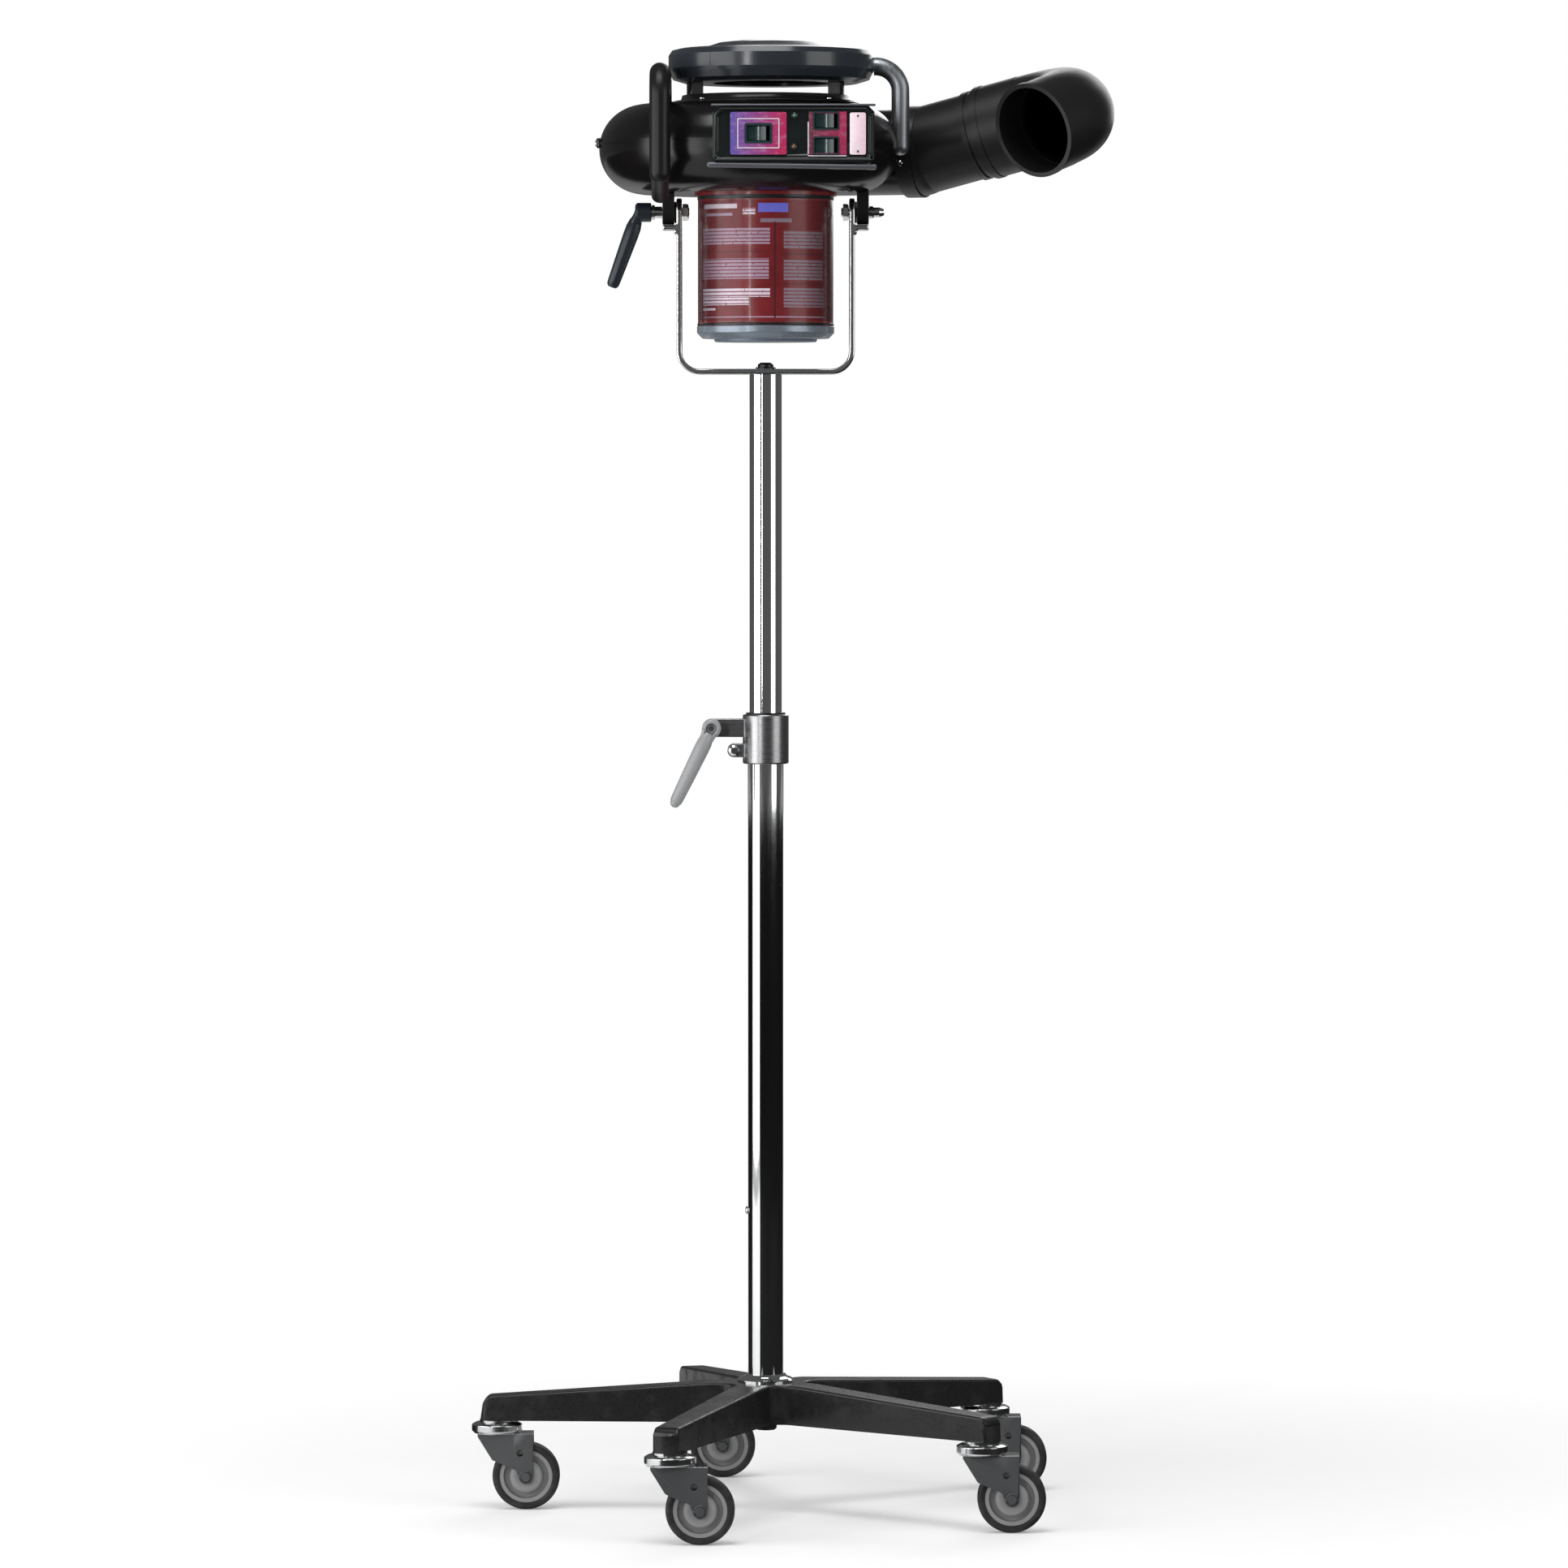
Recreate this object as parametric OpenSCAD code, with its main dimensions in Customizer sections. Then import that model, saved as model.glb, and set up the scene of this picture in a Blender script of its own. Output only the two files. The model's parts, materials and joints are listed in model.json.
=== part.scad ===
/* [Base] */
// Number of legs and casters
leg_count = 5; // [4:1:6]
// Distance from the pole to the outer end of a leg
leg_reach = 255; // [230:1:300]
// Direction of the first leg, seen from above
leg_start = -110; // [-120:1:-100]
// Height of the underside of the legs above the floor
leg_underside = 80; // [78:1:90]
// Depth of a leg at its outer end
leg_end_depth = 22; // [18:1:26]
// Depth of a leg where it joins the hub
leg_hub_depth = 35; // [30:1:45]
// Width of a leg at its outer end
leg_end_width = 23; // [22:1:30]
// Width of a leg where it joins the hub
leg_hub_width = 32; // [28:1:38]
// Wall of the pressed legs
leg_wall = 2.5; // [2:0.5:4]
// Radius of the hub that holds the pole
hub_radius = 26; // [24:1:32]

/* [Casters] */
// Distance from a caster's stem to the outer end of its leg
stem_inset = 15; // [14:1:20]
// Diameter of a wheel over its tyre
wheel_diameter = 60; // [56:1:64]
// Width of the tyre
tyre_width = 19; // [16:1:21]
// Thickness of the tyre on its rim
tyre_depth = 6.5; // [5:0.5:8]
// Distance that the wheel trails behind its stem
caster_trail = 26; // [24:1:28]
// Radius of the swivel race under the leg
race_radius = 22.5; // [20:0.5:24]
// Sheet thickness of a fork
fork_sheet = 2.5; // [2:0.1:3]
// Radius of a caster stem
stem_radius = 5; // [4:0.5:5.5]
// Radius of a wheel axle
axle_radius = 4; // [3:0.5:4.5]

/* [Pole] */
// Outer radius of the lower tube
lower_tube_radius = 15.9; // [15.5:0.1:17]
// Height of the lower tube's top end
lower_tube_top = 688; // [640:1:760]
// Outer radius of the upper tube
upper_tube_radius = 14.3; // [13.8:0.1:14.4]
// Wall of the tubes
tube_wall = 1.54; // [1.5:0.01:1.6]
// Height of the upper tube's lower end
upper_tube_bottom = 400; // [360:1:440]
// Height of the yoke's underside above the floor
yoke_bottom = 1011.5; // [980:0.5:1060]
// Height of the blanking button on the lower tube
button_height = 268; // [200:1:400]

/* [Clamp] */
// Outer radius of the clamp collar
collar_radius = 20.5; // [20:0.1:23]
// Height of the clamp collar
collar_height = 44; // [40:1:50]
// How far the collar's top stands above the lower tube
collar_over = 22; // [18:1:26]
// Distance from the pole axis to the clamp screw
clamp_reach = 48; // [44:1:54]
// Length of a clamping lever from its hub to its tip
lever_length = 74; // [60:1:90]
// Width of the slot between the clamp ears
clamp_slot = 3; // [2:0.5:4]
// How far a lever lifts off its teeth
lever_lift = 4; // [3:0.5:5]

/* [Yoke] */
// Width of the yoke over its arms
yoke_width = 158; // [150:1:170]
// Thickness of the yoke's strip
yoke_strip = 5; // [4:0.5:6]
// Width of the yoke's strip
yoke_strip_width = 25; // [20:1:27]
// Inside radius of the yoke's corners
yoke_corner = 16; // [10:1:24]
// Height of the tilt axis above the yoke's underside
tilt_rise = 143.5; // [140:0.5:160]
// Radius of the tilt bolts
tilt_bolt_radius = 4; // [3:0.5:5]
// Thickness of a friction washer
washer_thickness = 1.5; // [1:0.1:2.5]

/* [Fan housing] */
// Height of the tilt axis below the fan housing's underside
tilt_drop = 17; // [16:0.5:24]
// Height of the fan housing
casing_height = 79; // [76:1:84]
// Wall of the moulded fan housing
casing_wall = 3; // [2.5:0.5:4]
// Reach of the scroll on its right side
scroll_right = 118; // [112:1:122]
// Reach of the scroll on its front side
scroll_front = 116; // [112:1:120]
// Reach of the scroll on its left side
scroll_left = 148; // [144:1:156]
// Reach of the scroll on its back side
scroll_back = 162; // [158:1:168]
// Height of the joint line above the middle of the housing
seam_rise = 5; // [2:1:8]

/* [Motor] */
// Radius of the motor can
can_radius = 60; // [56:0.5:63]
// Height of the motor can
can_height = 118; // [110:1:125]
// Wall of the motor can
can_wall = 1.5; // [1.2:0.1:2]
// Height of the end cap's rim
cap_height = 11; // [9:1:14]
// Radius of the motor shaft
shaft_radius = 6; // [5:0.5:7]
// Radius of the impeller
impeller_radius = 74; // [66:1:76]
// Height of the impeller
impeller_height = 46; // [40:1:50]
// Number of impeller blades
blade_count = 18; // [12:1:24]

/* [Intake] */
// Outer radius of the intake ring
intake_radius = 75; // [70:1:78]
// Radius of the intake opening
intake_bore = 58; // [54:1:60]
// Radius of the cover over the intake
cover_radius = 91; // [86:1:94]
// Height of the open gap under the cover
intake_gap = 11; // [10:0.5:14]
// Height of the cover's side wall
cover_wall_height = 30; // [24:1:34]
// How far the cover sits to the right of the fan axis
cover_shift = 5; // [0:1:8]

/* [Handles] */
// Radius of the carrying handle's tube
handle_radius = 8; // [7:0.5:9]
// Radius of the side grip's tube
grip_radius = 9.2; // [8:0.1:10]
// How far the side grip sits to the left of the fan axis
grip_left = 92; // [88:1:100]
// Height of the side grip above the housing's top
grip_above = 32; // [26:1:36]

/* [Control panel] */
// Width of the control panel
panel_width = 141; // [136:1:146]
// Height of the control panel
panel_height = 50; // [46:1:54]
// Width of a rocker switch
rocker_width = 19; // [16:1:22]
// Height of a rocker switch
rocker_height = 12.5; // [10:0.5:14]
// Angle that a rocker turns through
rocker_travel = 20; // [14:1:24]

/* [Outlet] */
// Outer radius of the outlet duct
duct_radius = 39; // [37:0.5:41]
// Wall of the duct and the nozzle
duct_wall = 3; // [2.5:0.5:4]
// Angle that the outlet turns towards the front
duct_turn = 20; // [10:1:24]
// Angle that the duct rises
duct_rise = 14; // [8:1:18]
// Length of the rising duct
duct_length = 76; // [66:1:100]
// Outer radius of the nozzle
nozzle_radius = 41; // [39:0.5:43]
// Straight length of the nozzle's inlet
nozzle_inlet = 40; // [34:1:50]
// Bend radius of the nozzle on its centre line
nozzle_bend = 52; // [48:1:60]
// Angle of the nozzle's bend
nozzle_angle = 115; // [90:1:120]
// Straight length behind the nozzle's mouth
nozzle_mouth = 30; // [20:1:40]
// Turn of the nozzle about the duct
nozzle_roll = 12; // [0:1:30]

/* [Fits] */
// Radial clearance of a running fit
run_fit = 0.06; // [0.03:0.01:0.1]
// Gap between pieces that move past each other
move_gap = 0.4; // [0.3:0.1:0.8]

/* [Hidden] */
$fn = 64;
e = 0.01;

// Stand
leg_end_top = leg_underside + leg_end_depth;
hub_top = leg_underside + leg_hub_depth;
stem_reach = leg_reach - stem_inset;
wheel_radius = wheel_diameter / 2;
rim_radius = wheel_radius - tyre_depth;
fork_gap = tyre_width / 2 + 2;
race_drop = 11.5;
fork_top = leg_underside - race_drop;
leg_angle = 360 / leg_count;
web_round = 14;
web_end = 47;
channel_start = 38;
boss_radius = 8.6;

// Pole
lower_tube_bore = lower_tube_radius - tube_wall;
upper_tube_bore = upper_tube_radius - tube_wall;
pole_seat = leg_underside + 6;
plug_depth = 14;
glide_length = 12;
ring_height = 7;

// Clamp
collar_top = lower_tube_top + collar_over;
collar_bottom = collar_top - collar_height;
clamp_z = collar_top - 12;
set_screw_z = collar_bottom + 12;
set_screw_x = collar_radius + 7.5;
ear_depth = 7;
ear_round = 8;
set_round = 6;
lever_hub = 8.5;
lever_hub_length = 15;
lever_tip = 4.5;
lever_lean = 20;
stud_stand = 6;

// Yoke and tilt axis
arm_outer = yoke_width / 2;
arm_inner = arm_outer - yoke_strip;
yoke_seat = yoke_bottom + yoke_strip;
yoke_plug = 24;
tilt_z = yoke_bottom + tilt_rise;
arm_round = yoke_strip_width / 2;
washer_space = washer_thickness + 0.4;
ear_inner = arm_outer + washer_space;
ear_thick = 10.5;
ear_outer = ear_inner + ear_thick;
ear_width = 22;

// Fan housing
casing_bottom = tilt_z + tilt_drop;
casing_top = casing_bottom + casing_height;
edge_radius = casing_height / 2;
casing_mid = casing_bottom + edge_radius;
seam_z = casing_mid + seam_rise;

// The scroll's outline is four arcs that meet without a kink. Each is [centre x, centre y, radius].
right_arc = [-6, 8, scroll_right + 6];
front_y = right_arc[1] - right_arc[2];
front_shift = scroll_front + front_y;
left_arc = [-6, scroll_left - 6 - scroll_front + front_shift, scroll_left - 6];
back_radius = scroll_back - left_arc[1];
back_arc = [back_radius - scroll_left, left_arc[1], back_radius];
tongue_radius = 100;
tongue_arc = [scroll_right - tongue_radius, right_arc[1], tongue_radius];

// Outlet: a level throat in the housing, then the rising duct, then the nozzle
throat_radius = duct_radius - 0.6;
throat_start = [
    back_arc[0] + (back_arc[2] - edge_radius) * cos(90 - duct_turn),
    back_arc[1] + (back_arc[2] - edge_radius) * sin(90 - duct_turn)
];
throat_length = 124;
tongue_end = 100;
muff_step = 0.4;
plate_half = edge_radius - 0.2;
collar_band = 10;
arc_lap = 2;
cut_span = 4 * scroll_back;
heater_place = throat_length / 2;
heater_length = 46;
heater_board = 1.6;
heater_wire = 1.6;
heater_rings = [heater_length * 0.17, heater_length * 0.5, heater_length * 0.83];
heater_radii = [throat_radius * 0.36, throat_radius * 0.62];

// Motor and fan
can_top = casing_mid - edge_radius + 0.2;
can_bottom = can_top - can_height;
cap_bottom = can_bottom - cap_height;
impeller_bottom = casing_bottom + casing_wall + 7;
impeller_top = impeller_bottom + impeller_height;
shaft_top = impeller_top - 8;
bearing_radius = 13;
bearing_height = 8;
core_radius = 30.4;
core_length = 30;
core_bottom = can_bottom + 38;

// Intake
ring_bottom = casing_top;
ring_top = ring_bottom + 7;
cover_bottom = ring_top + intake_gap;
dome_rise = 8;
cover_mouth = 52;
ring_screw_reach = intake_radius + 3.5;
ring_screw_radius = 1.2;
post_reach = 66;
post_spread = 20;

// Control panel
panel_left = -46;
panel_z = casing_mid + 7;
panel_front = -scroll_front - 15;
panel_mid = panel_left + panel_width / 2;
rocker_depth = 9;
power_place = [-6, panel_z + 1];
heat_place = [53, panel_z + 12];
speed_place = [53, panel_z - 10];

// ---------------------------------------------------------------- helpers

// A ring or tube standing on the XY plane
module tube(outer, inner, height) {
    difference() {
        cylinder(r = outer, h = height);
        translate([0, 0, -1]) cylinder(r = inner, h = height + 2);
    }
}

// Turns what stands along +Z so that it points along -Y
module facing_front() {
    rotate([90, 0, 0]) children();
}

// Turns what stands along +Z so that it points along +X
module facing_right() {
    rotate([0, 90, 0]) children();
}

// Puts a copy of the children on each leg, with +X along the leg
module on_each_leg() {
    for (i = [0 : leg_count - 1]) {
        rotate([0, 0, leg_start + i * leg_angle]) children();
    }
}

// Moves the children to the stem of one caster, unturned
module at_stem(leg) {
    turn = leg_start + leg * leg_angle;
    translate([stem_reach * cos(turn), stem_reach * sin(turn), 0]) children();
}

// A hexagonal bolt head standing on the XY plane, with a chamfer all round
module hex_head(across, height) {
    intersection() {
        cylinder(r = across / sqrt(3), h = height, $fn = 6);
        rotate_extrude() {
            polygon([
                [0, 0], [across * 0.6, 0], [across * 0.6, height * 0.7],
                [across * 0.48, height], [0, height]
            ]);
        }
    }
}

// A pan-headed screw with a cross recess, its head on +Z and its shank below
module pan_screw(head_radius, head_height, shank_radius, shank_length) {
    difference() {
        union() {
            rotate_extrude() {
                polygon([
                    [0, 0], [head_radius, 0], [head_radius, head_height * 0.45],
                    [head_radius * 0.6, head_height], [0, head_height]
                ]);
            }
            translate([0, 0, -shank_length]) cylinder(r = shank_radius, h = shank_length + e);
        }
        for (turn = [0, 90]) {
            rotate([0, 0, turn]) translate([-head_radius * 0.55, -head_radius * 0.12, head_height * 0.5])
                cube([head_radius * 1.1, head_radius * 0.24, head_height]);
        }
    }
}

// ---------------------------------------------------------------- base

// Half width of a leg at distance x from the pole
function leg_half(x) = (leg_hub_width - (leg_hub_width - leg_end_width) * x / (leg_reach - 4)) / 2;

// Plan of the five legs with a hollow round web between neighbours, one leg after the other
function spider_points(steps) = let (
    taper = atan((leg_hub_width - leg_end_width) / 2 / (leg_reach - 4)),
    bisector = leg_angle / 2,
    centre = (leg_hub_width / 2 + web_round / cos(taper)) / (sin(bisector) + tan(taper) * cos(bisector))
) [
    for (i = [0 : leg_count - 1], p = concat(
        [
            [leg_reach - 4, -leg_half(leg_reach - 4)], [leg_reach, 4 - leg_half(leg_reach)],
            [leg_reach, leg_half(leg_reach) - 4], [leg_reach - 4, leg_half(leg_reach - 4)]
        ],
        [for (k = [0 : steps])
            let (turn = -90 - taper - (180 - leg_angle - 2 * taper) * k / steps)
            [centre * cos(bisector) + web_round * cos(turn), centre * sin(bisector) + web_round * sin(turn)]]
    ))
        let (turn = leg_start + i * leg_angle)
        [p[0] * cos(turn) - p[1] * sin(turn), p[0] * sin(turn) + p[1] * cos(turn)]
];

// Hollow under one leg, open at the bottom
module leg_channel() {
    intersection() {
        facing_front() translate([0, 0, -leg_hub_width]) linear_extrude(height = 2 * leg_hub_width) {
            polygon([
                [channel_start, leg_underside - 1], [leg_reach - leg_wall, leg_underside - 1],
                [leg_reach - leg_wall - 3, leg_end_top - leg_wall - 5],
                [leg_reach - leg_wall - 8, leg_end_top - leg_wall],
                [channel_start, hub_top - leg_wall]
            ]);
        }
        translate([0, 0, leg_underside - 5]) linear_extrude(height = leg_hub_depth + 10) polygon([
            [channel_start - 1, leg_wall - leg_half(channel_start)],
            [leg_reach - leg_wall + 1, leg_wall - leg_half(leg_reach)],
            [leg_reach - leg_wall + 1, leg_half(leg_reach) - leg_wall],
            [channel_start - 1, leg_half(channel_start) - leg_wall]
        ]);
    }
}

// What is cut off above one leg, which slopes down from the hub to its bevelled end
module above_leg() {
    slope = (hub_top - leg_end_top) / (leg_reach - 8 - web_end);
    facing_front() translate([0, 0, -20]) linear_extrude(height = 40) polygon([
        [web_end - 10, hub_top + 10 * slope], [leg_reach - 8, leg_end_top],
        [leg_reach - 3, leg_end_top - 5], [leg_reach + 1, leg_underside - 10],
        [leg_reach + 5, leg_underside - 10], [leg_reach + 5, hub_top + 5], [web_end - 10, hub_top + 5]
    ]);
}

// Five pressed channel legs, open underneath, around a socket for the pole
module base_spider() {
    color([0.07, 0.07, 0.075]) difference() {
        union() {
            difference() {
                translate([0, 0, leg_underside]) linear_extrude(height = leg_hub_depth) {
                    polygon(spider_points(8));
                }
                on_each_leg() leg_channel();
            }
            on_each_leg() translate([stem_reach, 0, leg_underside]) {
                cylinder(r = boss_radius, h = leg_end_depth - leg_wall + 1);
            }
        }
        on_each_leg() above_leg();
        translate([0, 0, pole_seat]) cylinder(r = lower_tube_radius, h = leg_hub_depth);
        translate([0, 0, leg_underside - 1]) cylinder(r = 5.2, h = leg_hub_depth);
        on_each_leg() translate([stem_reach, 0, leg_underside - 1]) {
            cylinder(r = stem_radius, h = leg_end_depth - leg_wall);
        }
    }
}

// Domed trim ring round the foot of the pole
module pole_ring() {
    color([0.6, 0.6, 0.62]) translate([0, 0, hub_top]) rotate_extrude() polygon([
        [lower_tube_radius, 0], [hub_radius - 1, 0], [hub_radius - 1, ring_height * 0.3],
        [hub_radius - 3, ring_height * 0.55], [lower_tube_radius + 3, ring_height * 0.75],
        [lower_tube_radius + 2, ring_height], [lower_tube_radius, ring_height]
    ]);
}

// Bolt that holds the pole down, with its washer
module pole_bolt() {
    color([0.62, 0.62, 0.63]) {
        translate([0, 0, leg_underside - 1.6]) cylinder(r = 12, h = 1.6);
        translate([0, 0, leg_underside - 1.6]) mirror([0, 0, 1]) hex_head(17, 6.4);
        translate([0, 0, leg_underside - 2]) cylinder(r = 5, h = pole_seat + plug_depth - leg_underside);
    }
}

// Lower tube with the threaded plug welded into its foot
module lower_tube() {
    color([0.8, 0.8, 0.82]) {
        difference() {
            translate([0, 0, pole_seat]) {
                cylinder(r = lower_tube_radius, h = lower_tube_top - pole_seat);
            }
            translate([0, 0, pole_seat + plug_depth]) {
                cylinder(r = lower_tube_bore, h = lower_tube_top - pole_seat);
            }
            translate([0, 0, pole_seat - 1]) cylinder(r = 5, h = plug_depth + 2);
            translate([-lower_tube_radius - 1, 0, button_height]) facing_right() {
                cylinder(r = 2.5, h = tube_wall + 2);
            }
        }
    }
}

// Blanking button in the tube's side
module tube_button() {
    color([0.55, 0.55, 0.56]) translate([-lower_tube_radius, 0, button_height]) {
        facing_right() translate([0, 0, -e]) cylinder(r = 2.5, h = tube_wall - 0.3);
        rotate([0, -90, 0]) rotate_extrude() polygon([
            [0, 0], [2.4, 0], [3.8, 0.6], [3.4, 1.6], [2, 2.2], [0, 2.4]
        ]);
    }
}

// Split plastic bush that closes on the upper tube inside the collar
module guide_bush() {
    bush_top = collar_top + 1.5;
    color([0.08, 0.08, 0.08]) difference() {
        union() {
            translate([0, 0, lower_tube_top + 0.2]) {
                cylinder(r = lower_tube_radius, h = bush_top - lower_tube_top - 0.2);
            }
            translate([0, 0, collar_top]) cylinder(r = lower_tube_radius + 1.6, h = 1.5);
        }
        cylinder(r = upper_tube_radius + run_fit, h = collar_top + 10);
        translate([-lower_tube_radius - 3, -clamp_slot / 4, lower_tube_top]) {
            cube([lower_tube_radius, clamp_slot / 2, collar_over + 10]);
        }
    }
}

// ---------------------------------------------------------------- clamp

// Pair of clamp ears reaching to the left, drawn as one plate across the slot
module clamp_ear(reach, height, rounding, hole) {
    facing_front() translate([0, 0, -ear_depth - clamp_slot / 2]) difference() {
        linear_extrude(height = 2 * ear_depth + clamp_slot) difference() {
            union() {
                translate([-reach, height]) circle(r = rounding);
                translate([-reach, height - rounding]) square([reach - 1, 2 * rounding]);
            }
            circle(r = e);
        }
        translate([-reach, height, -1]) cylinder(r = hole, h = 2 * ear_depth + clamp_slot + 2);
    }
}

// Split clamp collar: its lower half sits on the lower tube, its upper half grips the bush
module clamp_collar() {
    color([0.45, 0.45, 0.46]) difference() {
        union() {
            translate([0, 0, collar_bottom]) rotate_extrude() polygon([
                [0, 0], [collar_radius - 1, 0], [collar_radius, 1], [collar_radius, collar_height - 1],
                [collar_radius - 1, collar_height], [0, collar_height]
            ]);
            clamp_ear(clamp_reach, clamp_z, ear_round, stem_radius - 1 + run_fit);
            clamp_ear(set_screw_x, set_screw_z, set_round, 2.6);
        }
        translate([0, 0, collar_bottom - 1]) {
            cylinder(r = lower_tube_radius, h = collar_height + 2);
        }
        translate([-clamp_reach - 20, -clamp_slot / 2, collar_bottom - 1]) {
            cube([clamp_reach + 20, clamp_slot, collar_height + 2]);
        }
    }
}

// Cap screw and nut through the collar's lower ears
module collar_screw() {
    half = ear_depth + clamp_slot / 2;
    color([0.75, 0.75, 0.77]) translate([-set_screw_x, 0, set_screw_z]) facing_front() {
        translate([0, 0, half]) pan_screw(4.8, 3, 2.5, 2 * half + 3);
        translate([0, 0, -half]) mirror([0, 0, 1]) difference() {
            hex_head(8, 3.6);
            translate([0, 0, -1]) cylinder(r = 2.5, h = 6);
        }
    }
}

// Threaded stud with a toothed head for a clamping lever, standing along +Z from z = 0
module lever_stud(shank_length, nut_at) {
    neck = 3;
    union() {
        translate([0, 0, -shank_length]) cylinder(r = 4, h = shank_length + neck);
        translate([0, 0, move_gap]) cylinder(r = 6.6, h = neck - move_gap);
        translate([0, 0, neck]) for (turn = [0 : 30 : 330]) {
            rotate([0, 0, turn]) translate([0, -0.7, 0]) cube([5.4, 1.4, 4.5]);
        }
        translate([0, 0, neck]) cylinder(r = 4.4, h = 4.5);
        translate([0, 0, -nut_at]) mirror([0, 0, 1]) hex_head(13, 5.5);
    }
}

// Lever whose hub stands along +Z over its stud, with the handle towards +X leaning up by lean
module lever_body(lean, reach) {
    base = 3 + move_gap;
    well = 5 + lever_lift;
    difference() {
        union() {
            translate([0, 0, base]) rotate_extrude() polygon([
                [0, 0], [lever_hub - 0.8, 0], [lever_hub, 0.8], [lever_hub, lever_hub_length - 2.4],
                [lever_hub - 2, lever_hub_length - 0.6], [0, lever_hub_length - 0.6]
            ]);
            hull() {
                translate([0, 0, base + lever_hub_length - 7]) {
                    cylinder(r = lever_hub - 1.2, h = 5.2, $fn = 32);
                }
                rotate([0, 90 - lean, 0]) translate([-base - lever_hub_length + 4, 0, reach * 0.32]) {
                    cylinder(r = lever_tip + 0.2, h = 2, $fn = 32);
                }
            }
            hull() {
                rotate([0, 90 - lean, 0]) translate([-base - lever_hub_length + 4, 0, reach * 0.32]) {
                    cylinder(r = lever_tip - 0.6, h = 2, $fn = 32);
                }
                rotate([0, 90 - lean, 0]) translate([-base - lever_hub_length + 4, 0, reach]) {
                    sphere(r = lever_tip, $fn = 32);
                }
            }
        }
        translate([0, 0, -1]) cylinder(r = 5.8, h = base + well + 0.4);
        translate([0, 0, base + lever_hub_length - 4.6]) cylinder(r = 4.6, h = 8);
        translate([0, 0, base]) cylinder(r = 2.6, h = lever_hub_length);
    }
}

module lever_retainer() {
    seat = 3 + move_gap + lever_hub_length - 4.6;
    translate([0, 0, seat]) pan_screw(4.2, 2.6, 2.4, seat - 7.7);
}

// Places the clamp lever's own frame on the front ear
module at_clamp() {
    translate([-clamp_reach, -ear_depth - clamp_slot / 2, clamp_z]) facing_front() children();
}

module clamp_stud() {
    color([0.75, 0.75, 0.77]) at_clamp() {
        lever_stud(2 * ear_depth + clamp_slot + 6, 2 * ear_depth + clamp_slot + move_gap);
    }
}

module clamp_lever() {
    color([0.38, 0.38, 0.39]) at_clamp() rotate([0, 0, 180 + 64]) lever_body(4, lever_length);
}

module clamp_lever_screw() {
    color([0.8, 0.8, 0.82]) at_clamp() lever_retainer();
}

// ---------------------------------------------------------------- casters

// Stems pressed into the legs, each with the race cap that the fork turns under
module caster_stems() {
    color([0.75, 0.75, 0.74]) for (leg = [0 : leg_count - 1]) at_stem(leg) {
        translate([0, 0, fork_top - 4.5]) {
            cylinder(r = stem_radius, h = leg_underside + leg_end_depth - leg_wall - fork_top + 3);
        }
        translate([0, 0, leg_underside - 2]) cylinder(r = race_radius - 7, h = 2);
        translate([0, 0, fork_top - fork_sheet - 3.4]) cylinder(r = stem_radius + 2.2, h = 2.6);
    }
}

// Side outline of a fork, X away from the stem and Y up
module fork_outline() {
    right = caster_trail + 6.5;
    difference() {
        union() {
            polygon([
                [-17, fork_top - fork_sheet], [right, fork_top - fork_sheet], [right, wheel_radius],
                [caster_trail - 6.5, wheel_radius], [caster_trail - 9, wheel_radius + 6],
                [-4, wheel_radius + 15]
            ]);
            translate([caster_trail, wheel_radius]) circle(r = 6.5);
        }
        translate([caster_trail - 5, wheel_radius + 21]) circle(r = 3);
    }
}

// Swivel fork with its race, two sheet sides, the sloping web between them and the axle bolt
module fork(leg) {
    color([0.55, 0.55, 0.55]) at_stem(leg) {
        difference() {
            union() {
                translate([0, 0, fork_top]) rotate_extrude() polygon([
                    [0, 0], [race_radius - 2, 0], [race_radius, 2], [race_radius, race_drop - 4],
                    [race_radius - 3, race_drop - 2 - move_gap], [0, race_drop - 2 - move_gap]
                ]);
                translate([-17, -fork_gap - fork_sheet, fork_top - fork_sheet]) {
                    cube([17 + caster_trail + 6.5, 2 * (fork_gap + fork_sheet), fork_sheet + e]);
                }
                for (side = [-fork_gap - fork_sheet, fork_gap]) {
                    translate([0, side + fork_sheet, 0]) facing_front() {
                        linear_extrude(height = fork_sheet) fork_outline();
                    }
                }
                translate([0, fork_gap + e, 0]) facing_front() {
                    linear_extrude(height = 2 * (fork_gap + e)) polygon([
                        [-17, fork_top - fork_sheet], [-17 + fork_sheet + 1, fork_top - fork_sheet],
                        [-4 + fork_sheet, wheel_radius + 16], [-4, wheel_radius + 15]
                    ]);
                }
            }
            translate([0, 0, fork_top - fork_sheet - 1]) {
                cylinder(r = stem_radius + run_fit, h = race_drop + fork_sheet + 2);
            }
        }
        translate([caster_trail, fork_gap + fork_sheet + 4, wheel_radius]) facing_front() {
            cylinder(r = axle_radius, h = 2 * (fork_gap + fork_sheet + 4));
            translate([0, 0, 0.6]) hex_head(10, 3.6);
            translate([0, 0, 2 * (fork_gap + fork_sheet) + 3.8]) hex_head(10, 3.6);
        }
    }
}

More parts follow.
